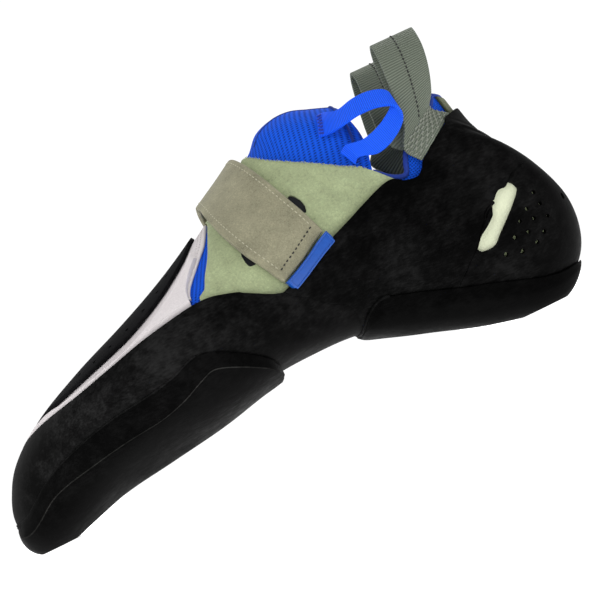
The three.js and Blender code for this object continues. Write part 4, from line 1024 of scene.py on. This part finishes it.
class CLIMBING_OT_tongue(ShoeOperator, bpy.types.Operator):
    """Makes the padded mesh tongue and its seam"""
    bl_idname = "climbing_shoe.tongue"
    bl_label = "Tongue"

    def execute(self, context):
        knit = knit_material("blue_tongue_mesh", colours().mesh, sizes().knit)
        seam = plain_material("tongue_piping", shade(colours().mesh, 0.35)[:3], 0.85)
        edge = line(TONGUE_EDGE)

        def places(shape):
            return top_region(constant(5.7), constant(15.0), edge, shape)
        coarse = skin(*places((24, 24)), 0)
        section, around = places(grid_shape(coarse))
        folded = np.where(around > 1, around - 2, around)
        outer = swell(section, folded) - CLEARANCE
        tongue = shell("padded_tongue", skin(section, around, outer), skin(section, around, outer - 0.0016),
                       rounding=0.0003)
        finish_piece(tongue, knit, "mesh", "tongue")

        low = np.linspace(11.4, 14.9, 60)
        near = skin(low, -(edge(low) + 0.035), swell(low, edge(low) + 0.035))
        far = skin(low, edge(low) + 0.035, swell(low, edge(low) + 0.035))
        path = np.concatenate([near, far[::-1]])
        finish_piece(bead("tongue_seam", path, 0.0005), seam, "mesh", "tongue")
        ridge = np.linspace(9.5, 14.6, 60)
        for name, side in (("tongue_ridge_outer", -1), ("tongue_ridge_inner", 1)):
            run = skin(ridge, side * (0.965 - 0.012 * np.abs(ridge - 12)), swell(ridge, 0.95) - CLEARANCE)
            finish_piece(bead(name, run, 0.00035), seam, "mesh", "tongue")
        return {"FINISHED"}


class CLIMBING_OT_insole(ShoeOperator, bpy.types.Operator):
    """Makes the insole board"""
    bl_idname = "climbing_shoe.insole"
    bl_label = "Insole"

    def execute(self, context):
        cloth = suede_material("insole_cloth", linear("#3a3a3c"), 0.2)

        def places(shape):
            return ring_region(constant(0.9), constant(12.7), line(INSOLE_EDGE), shape)
        insole = layer_piece("insole_board", places, -0.0018, -0.0003, rounding=0.0004)
        finish_piece(insole, cloth, "board", "insole")
        return {"FINISHED"}


class CLIMBING_OT_rands(ShoeOperator, bpy.types.Operator):
    """Makes the front and rear rands, the heel cup and the toe patch"""
    bl_idname = "climbing_shoe.rands"
    bl_label = "Rands, heel cup and toe patch"

    def execute(self, context):
        rubber = rubber_material("ground_rand_rubber", colours().rubber, 0.6, 0.9)
        moulded = rubber_material("moulded_patch_rubber", colours().patch, 0.7, 0.25)
        end = line(FRONT_RUBBER_END)

        def front_places(shape):
            return ring_region(constant(0), lambda a: end(a) - END_GAP / 2, line(RAND_TOP), shape)
        front = layer_piece("front_rand_rubber", front_places, RAND_INNER, RAND_OUTER)
        finish_piece(front, rubber, "rubber", "front_rand")

        def rear_places(shape):
            return ring_region(
                lambda a: end(a) + END_GAP / 2, constant(17.6), line(REAR_RUBBER_EDGE), shape)
        rear = layer_piece("rear_rand_rubber", rear_places, RAND_INNER, RAND_OUTER)

        def cup_places(shape, grow=0.0):
            edge = line(CUP_EDGE)
            return ring_region(
                constant(10.45 - grow), constant(15.0 + grow), lambda s: edge(s) + grow, shape)
        section, around = cup_places((60, 60), 0.0015)
        room = shell("cup_room", skin(section, around, RAND_OUTER + 0.003),
                     skin(section, around, RAND_INNER - 0.002), 0)
        cut(rear, room)
        section, around = slot_region(HEEL_SLOT, -1)
        slot = shell("slot_room", skin(section, around, RAND_OUTER + 0.003),
                     skin(section, around, RAND_INNER - 0.001), 0)
        cut(rear, slot)
        smooth(rear)
        finish_piece(rear, rubber, "rubber", "rear_rand")

        cup = layer_piece("heel_cup_rubber", lambda shape: cup_places(shape, -0.0015), RAND_INNER, RAND_OUTER)
        section, around = slot_region(HEEL_SLOT, -1)
        slot = shell("slot_room", skin(section, around, RAND_OUTER + 0.003),
                     skin(section, around, RAND_INNER - 0.001), 0)
        cut(cup, slot)
        section, around = slot_region(HEEL_SLOT, -1, 0.006)
        bare = shell("heel_slot_suede", skin(section, around, SUEDE[1] + 0.0004),
                     skin(section, around, SUEDE[1] - 0.0002), 0)
        finish_piece(bare, suede_material("bleached_suede", linear("#d5dabd"), 0.08), "suede", "upper")
        for section, around, radius in HEEL_HOLES:
            for side in (-1, 1):
                cut(cup, pin("hole", section, side * around, radius, 0.006))
        smooth(cup)
        finish_piece(cup, rubber, "rubber", "heel_cup")

        # Black glue fills the seams, so that no suede shows in them.
        for name, side, start, stop in (
                ("inner", 1, 10.5, 14.98), ("outer_low", -1, 10.5, 12.72), ("outer_high", -1, 13.57, 14.98)):
            places = np.linspace(start, stop, 80)
            seam = skin(places, side * line(CUP_EDGE)(places), RAND_OUTER - 0.0008)
            finish_piece(bead("cup_seam_" + name, seam, 0.0006), rubber, "rubber", "heel_cup")
        around = np.linspace(-0.415, 0.415, 120)
        seam = skin(end(np.abs(around)), around, RAND_OUTER - 0.0007)
        finish_piece(bead("front_seam_glue", seam, 0.0006), rubber, "rubber", "rear_rand")

        def patch_places(shape):
            edge = line(PATCH_EDGE)
            return top_region(constant(2.45), constant(6.95), lambda s: np.minimum(edge(s) + 0.034, 0.985), shape)
        patch = layer_piece("toe_patch_rubber", patch_places, RAND_INNER, RAND_OUTER - 0.0004)
        for section, around in PATCH_HOLES:
            for side in (-1, 1):
                cut(patch, pin("hole", section, side * around, 0.0008, 0.006))
        smooth(patch)
        finish_piece(patch, moulded, "rubber", "toe_patch")
        return {"FINISHED"}


def pin(name, section, around, radius, length):
    """A round cutter that stands square on the rubber."""
    place = Vector(skin(section, around, (RAND_INNER + RAND_OUTER) / 2))
    way = Vector(last_normal(section, around))
    deselect()
    bpy.ops.mesh.primitive_cylinder_add(
        vertices=20, radius=radius, depth=length, location=place,
        rotation=way.to_track_quat("Z", "Y").to_euler())
    cutter = bpy.context.object
    cutter.name = name
    bpy.ops.object.transform_apply(location=True, rotation=True, scale=True)
    return cutter


class CLIMBING_OT_soles(ShoeOperator, bpy.types.Operator):
    """Makes the forefoot sole and the heel sole"""
    bl_idname = "climbing_shoe.soles"
    bl_label = "Soles"

    def execute(self, context):
        rubber = rubber_material("sole_rubber_sheet", colours().sole, 0.6, 0.7)
        wall = SOLE_INNER + 0.0005

        rows = spline(FOREFOOT_SOLE_ROWS, np.linspace(0, len(FOREFOOT_SOLE_ROWS) - 1, 90))
        profile = []
        for section, corner, top, other_corner, other_top, share in rows:
            depth = SOLE_INNER + FOREFOOT_SOLE * share
            crown = depth - 0.05 * FOREFOOT_SOLE
            middle = (wall + depth) / 2 - 0.1 * FOREFOOT_SOLE
            key = np.array([
                (-top, wall), (-(corner + top) / 2, middle), (-corner, crown), (-corner * 0.6, crown),
                (-corner * 0.3, depth), (0, depth), (other_corner * 0.3, depth),
                (other_corner * 0.6, crown), (other_corner, crown),
                ((other_corner + other_top) / 2, middle), (other_top, wall)])
            counts = (4, 4, 8, 6, 6, 6, 6, 8, 4, 4)
            at = np.concatenate([k + np.arange(n) / n for k, n in enumerate(counts)] + [[len(counts)]])
            around = np.interp(at, np.arange(len(key)), key[:, 0])
            offset = np.interp(at, np.arange(len(key)), key[:, 1])
            profile.append(np.stack([np.full(len(at), section), around, offset], -1))
        profile = np.array(profile)
        outer = skin(profile[..., 0], profile[..., 1], profile[..., 2])
        outer[..., 2] = np.maximum(outer[..., 2], 0)
        inner = skin(profile[..., 0], profile[..., 1], SOLE_INNER)
        inner[..., 2] = np.maximum(inner[..., 2], 0.0001)
        sole = shell("forefoot_sole_rubber", outer, inner, rounding=0.0003)
        finish_piece(sole, rubber, "sole_rubber", "forefoot_sole")
        # The sole's ground corner gets a lighter grey bead, a painted highlight along the corner where the rubber
        # is also worn, and glue fills the step above it up to the ball.
        other_tone = rubber_material("sole_edge_highlight", linear("#191918"), 0.85, 0.5)
        glue = rubber_material("ground_rand_rubber", colours().rubber, 0.6, 0.9)
        depth = SOLE_INNER + FOREFOOT_SOLE * (rows[:, 5] - 0.05) - 0.00012
        for name, corner, top in (("outer", -rows[:, 1], -rows[:, 2]), ("inner", rows[:, 3], rows[:, 4])):
            edge = skin(rows[12:-6, 0], corner[12:-6], depth[12:-6])
            edge[:, 2] = np.maximum(edge[:, 2], 0.0003)
            finish_piece(bead("sole_edge_" + name, edge, 0.00024), other_tone, "sole_rubber", "forefoot_sole")
            step = skin(rows[2:66, 0], top[2:66], RAND_OUTER + 0.0001)
            step[:, 2] = np.maximum(step[:, 2], 0.0007)
            finish_piece(bead("glue_line_" + name, step, 0.0006), glue, "rubber", "forefoot_sole")

        rows = spline(HEEL_SOLE_ROWS, np.linspace(0, len(HEEL_SOLE_ROWS) - 1, 70))
        share = np.concatenate([np.linspace(-1, -0.8, 5), np.linspace(-0.8, 0.8, 33)[1:-1], np.linspace(0.8, 1, 5)])
        key = ((0, 1), (0.25, 1), (0.5, 0.95), (0.8, 0.72), (1, 0.0005 / HEEL_SOLE))
        depth = np.interp(np.abs(share), [k[0] for k in key], [k[1] for k in key])
        section = np.broadcast_to(rows[:, 0:1], (70, len(share)))
        around = rows[:, 1:2] * share[None, :]
        offset = SOLE_INNER + HEEL_SOLE * np.minimum(depth[None, :], rows[:, 2:3]) * rows[:, 2:3]
        outer = skin(section, around, offset)
        outer[..., 2] = np.maximum(outer[..., 2], 0)
        inner = skin(section, around, SOLE_INNER)
        inner[..., 2] = np.maximum(inner[..., 2], 0.0001)
        heel = shell("heel_sole_rubber", outer, inner, rounding=0.0003)
        finish_piece(heel, rubber, "sole_rubber", "heel_sole")
        front = np.linspace(-1, 1, 24)[1:-1]
        rim = np.concatenate([
            np.stack([rows[16:0:-1, 0], -rows[16:0:-1, 1]], 1),
            np.stack([np.full(22, rows[0, 0]), rows[0, 1] * front], 1),
            np.stack([rows[1:17, 0], rows[1:17, 1]], 1)])
        finish_piece(bead("glue_line_heel", skin(rim[:, 0], rim[:, 1], RAND_OUTER + 0.0002), 0.0007),
                     glue, "rubber", "heel_sole")
        return {"FINISHED"}


def band(rows, base, thickness, shape, inset=0.0):
    """Grids of a band's outer and inner faces."""
    fine = spline(rows, np.linspace(0, len(rows) - 1, shape[0]))
    t = inset + (1 - 2 * inset) * np.linspace(0, 1, shape[1])[None, :]
    section = fine[:, 0:1] + (fine[:, 2:3] - fine[:, 0:1]) * t
    around = fine[:, 1:2] + (fine[:, 3:4] - fine[:, 1:2]) * t
    lift = base + thickness * (fine[:, 4:5] + (fine[:, 5:6] - fine[:, 4:5]) * t)
    return skin(section, around, lift + thickness), skin(section, around, lift)


class CLIMBING_OT_strap(ShoeOperator, bpy.types.Operator):
    """Makes the strap, its moulded end tab and its stitches"""
    bl_idname = "climbing_shoe.strap"
    bl_label = "Strap"

    def execute(self, context):
        suede = suede_material("grey_suede", colours().strap, 0.34, 0.0006)
        light = plain_material("pale_thread", linear("#a9a690"), 0.8)
        dark = plain_material("dark_thread", linear("#22211c"), 0.7)
        blue = plain_material("moulded_blue_rubber", colours().tab, 0.38)

        outer, inner = band(STRAP_ROWS, UPPER_WALL, STRAP_THICKNESS, (120, 24))
        strap = shell("suede_strap", outer, inner, rounding=0.0007, segments=3)
        finish_piece(strap, suede, "suede", "strap")

        down = np.linspace(0, 1, 26)
        rounded = 0.09 * (1 - np.sqrt(np.clip(1 - ((down - 0.6) / 0.4).clip(0, 1) ** 2, 0, 1)))
        outer, inner = band(TAB_ROWS, RAND_OUTER + CLEARANCE, TAB_THICKNESS, (26, 40), rounded[:, None])
        tab = shell("strap_end_tab", outer, inner, rounding=0.0007, segments=3)
        finish_piece(tab, blue, "blue_rubber", "strap_tab")
        edge, _ = band(TAB_ROWS, RAND_OUTER + CLEARANCE, TAB_THICKNESS, (14, 36), 0.03)
        frame_path = np.concatenate([edge[1:-1, 0], edge[-2, :], edge[-2:1:-1, -1], edge[1, ::-1]])
        rim = bead("strap_tab_rim", frame_path, 0.0004, closed=True)
        finish_piece(rim, blue, "blue_rubber", "strap_tab")

        seam_front, _ = band(STRAP_ROWS, UPPER_WALL, STRAP_THICKNESS, (120, 24))
        inset = 2
        up = Vector((0, -0.5, 0.8))
        front = seam_front[6:100, inset]
        rear = seam_front[6:100, -1 - inset]
        finish_piece(
            stitches("strap_edge_stitches", [front, rear], [up, up], sizes().stitch, 0.0019, 0.0002),
            light, "suede", "strap")
        end = seam_front[5, inset:-inset]
        finish_piece(
            stitches("strap_end_stitches", [end], [up], 0.0012, 0.0018, 0.0003), dark, "suede", "strap")
        return {"FINISHED"}


def centripetal(points, at):
    """A centripetal curve through points, at shares of its run."""
    points = np.asarray(points, float)
    last = len(points) - 1
    where = np.clip(np.asarray(at) * last, 0, last)
    index = np.minimum(where.astype(int), last - 1)
    t = (where - index)[:, None]
    padded = np.vstack([2 * points[0] - points[1], points, 2 * points[last] - points[last - 1]])
    p0, p1, p2, p3 = (padded[index + k] for k in range(4))
    d0, d1, d2 = (np.maximum(np.linalg.norm(b - a, axis=-1, keepdims=True) ** 0.5, 1e-6)
                  for a, b in ((p0, p1), (p1, p2), (p2, p3)))
    t1 = ((p1 - p0) / d0 - (p2 - p0) / (d0 + d1) + (p2 - p1) / d1) * d1
    t2 = ((p2 - p1) / d1 - (p3 - p1) / (d1 + d2) + (p3 - p2) / d2) * d1
    return p1 + t1 * t + (3 * (p2 - p1) - 2 * t1 - t2) * t ** 2 + (2 * (p1 - p2) + t1 + t2) * t ** 3


def direction_across(row):
    """The direction across a row of points."""
    way = np.asarray(row[-1]) - np.asarray(row[0])
    return way / np.linalg.norm(way)


def ribbon(name, rows, steps, rounding=0.0003):
    """A woven ribbon through rows of points across its width, and its middle face."""
    rows = np.asarray(rows, float)
    share = np.linspace(0, 1, steps)
    columns = np.stack([centripetal(rows[:, j], share) for j in range(rows.shape[1])], 1)
    wide = 13
    at = np.linspace(0, 1, wide) * (rows.shape[1] - 1)
    middle = np.stack([spline(columns[i], at) for i in range(steps)], 0)
    along = np.gradient(middle, axis=0)
    across = np.gradient(middle, axis=1)
    outward = np.cross(along, across)
    outward /= np.maximum(np.linalg.norm(outward, axis=-1, keepdims=True), 1e-12)
    half = RIBBON_THICKNESS / 2
    return shell(name, middle + outward * half, middle - outward * half, rounding), middle, outward


class CLIMBING_OT_heel_loops(ShoeOperator, bpy.types.Operator):
    """Makes the two grey pull loops at the heel and their stitches"""
    bl_idname = "climbing_shoe.heel_loops"
    bl_label = "Heel loops"

    def execute(self, context):
        grey = ribbon_material("grey_grosgrain", colours().webbing, sizes().rib, 0.35)
        black = plain_material("black_thread", linear("#0b0b0b"), 0.6)
        pale = plain_material("grey_thread", linear("#7a7e73"), 0.7)
        throat = line(THROAT_EDGE)
        rubber = line(REAR_RUBBER_EDGE)
        for side, node in ((-1, "heel_loop_outer"), (1, "heel_loop_inner")):
            outside = UPPER_WALL + HEEL_LOOP_LIFT + RIBBON_THICKNESS / 2
            ends = [skin(HEEL_LOOP_SECTION + k, side * throat(HEEL_LOOP_SECTION + k), outside)
                    for k in (-1, 1)]
            half = HEEL_LOOP_WIDTH / np.linalg.norm(ends[1] - ends[0])

            def on_collar(border, above, offset, back=0.0):
                section = HEEL_LOOP_SECTION + back + np.linspace(-1, 1, 3) * half
                return skin(section, side * (border(section) + above), offset)
            low = on_collar(rubber, HEEL_LOOP_ROOT - 0.011, UPPER_WALL + 0.0009)
            high = on_collar(throat, HEEL_LOOP_RIM, outside)
            slope = direction_across(high)
            free = []
            for up, inward, forward in HEEL_LOOP_ROWS:
                centre = high[1] + np.array((-forward, -side * inward, up)) * HEEL_LOOP_HEIGHT
                t = min(up / HEEL_LOOP_LEVEL, 1)
                way = slope * (1 - t) + np.array((1.0, 0, 0)) * t
                way /= np.linalg.norm(way)
                free.append([centre + way * k * HEEL_LOOP_WIDTH for k in (-0.5, 0, 0.5)])
            back = [on_collar(throat, above, -gap - RIBBON_THICKNESS / 2, behind)
                    for above, gap, behind in HEEL_LOOP_INSIDE]
            piece, middle, outward = ribbon(node + "_ribbon", [low, high, *free, *back], 110)
            finish_piece(piece, grey, "grey_webbing", node)

            face = RIBBON_THICKNESS / 2 + 0.0001
            sign = 1 if np.dot(outward[40, 6], (0, side, 0)) > 0 else -1
            run = middle[12:74, 6] + sign * outward[12:74, 6] * face
            seam = stitches(node + "_stitches", [run], [Vector((0, side, 0.2))], 0.0012, 0.0017, 0.0003)
            finish_piece(seam, black, "grey_webbing", node)
            zigzag = []
            for row in range(1, 10):
                for column in range(1, 12):
                    shift = 1 if (row + column) % 2 else -1
                    a = middle[row, column] + sign * outward[row, column] * face
                    b = middle[row + 1, column + shift] + sign * outward[row + 1, column + shift] * face
                    zigzag.append(np.array([a, b]))
            tack = stitches(node + "_bar_tack", zigzag, [Vector((0, side, 0.2))] * len(zigzag),
                            0.0018, 0.01, 0.00026)
            finish_piece(tack, pale, "grey_webbing", node)
        return {"FINISHED"}


class CLIMBING_OT_tongue_loop(ShoeOperator, bpy.types.Operator):
    """Makes the blue pull loop on the tongue and its stitches"""
    bl_idname = "climbing_shoe.tongue_loop"
    bl_label = "Tongue loop"

    def execute(self, context):
        blue = ribbon_material("blue_grosgrain", colours().ribbon, sizes().rib * 0.8, 0.3)
        thread = plain_material("blue_thread", linear("#0c2f9e"), 0.7)
        lift = DOME_RISE + CLEARANCE + RIBBON_THICKNESS / 2
        share = np.array((0, 0.5, 1))
        sewn = [skin(a + (c - a) * share, -(b + (d - b) * share), lift) for a, b, c, d in TONGUE_LOOP_SEAMS]
        free = []
        for i, (back, out, up) in enumerate(TONGUE_LOOP_ROWS):
            centre = sewn[1][1] + np.array((back, -out, up)) * TONGUE_LOOP_REACH
            t = (i + 1) / (len(TONGUE_LOOP_ROWS) + 1)
            way = direction_across(sewn[1]) * (1 - t) + direction_across(sewn[2]) * t
            way /= np.linalg.norm(way)
            free.append([centre + way * k * TONGUE_LOOP_WIDTH for k in (-0.5, 0, 0.5)])
        piece, middle, outward = ribbon("tongue_loop_ribbon", [*sewn[:2], *free, *sewn[2:]], 90)
        finish_piece(piece, blue, "blue_webbing", "tongue_loop")

        face = RIBBON_THICKNESS / 2 + 0.0001
        sign = 1 if np.dot(outward[4, 6], (0, -1, 0.3)) > 0 else -1
        rows = []
        for end in (0, -1):
            for k in range(1, 6):
                row = k if end == 0 else -1 - k
                rows.append(middle[row] + sign * outward[row] * face)
        tack = stitches("tongue_loop_stitches", rows, [Vector((0, -1, 0.3))] * len(rows), 0.0011, 0.0015, 0.00022)
        finish_piece(tack, thread, "blue_webbing", "tongue_loop")
        return {"FINISHED"}


OPERATORS = (
    CLIMBING_OT_stage, CLIMBING_OT_sock, CLIMBING_OT_upper, CLIMBING_OT_tongue, CLIMBING_OT_insole,
    CLIMBING_OT_rands, CLIMBING_OT_soles, CLIMBING_OT_strap, CLIMBING_OT_heel_loops,
    CLIMBING_OT_tongue_loop,
)


class CLIMBING_PT_panel(bpy.types.Panel):
    """Lists the sizes, the colours and the steps that make the shoe"""
    bl_label = "Climbing Shoe"
    bl_space_type = "VIEW_3D"
    bl_region_type = "UI"
    bl_category = "Climbing Shoe"

    def draw(self, context):
        layout = self.layout
        for group in (sizes(), colours()):
            for key in group.__annotations__:
                layout.prop(group, key)
        for operator in OPERATORS:
            layout.operator(operator.bl_idname)


CLASSES = (ShoeSizes, ShoeColours, *OPERATORS, CLIMBING_PT_panel)


def register():
    for cls in CLASSES:
        bpy.utils.register_class(cls)
    bpy.types.Scene.climbing_shoe_sizes = PointerProperty(type=ShoeSizes)
    bpy.types.Scene.climbing_shoe_colours = PointerProperty(type=ShoeColours)


def unregister():
    del bpy.types.Scene.climbing_shoe_colours
    del bpy.types.Scene.climbing_shoe_sizes
    for cls in reversed(CLASSES):
        bpy.utils.unregister_class(cls)


def main():
    register()
    for operator in OPERATORS:
        group, name = operator.bl_idname.split(".")
        getattr(getattr(bpy.ops, group), name)()


if __name__ == "__main__":
    main()
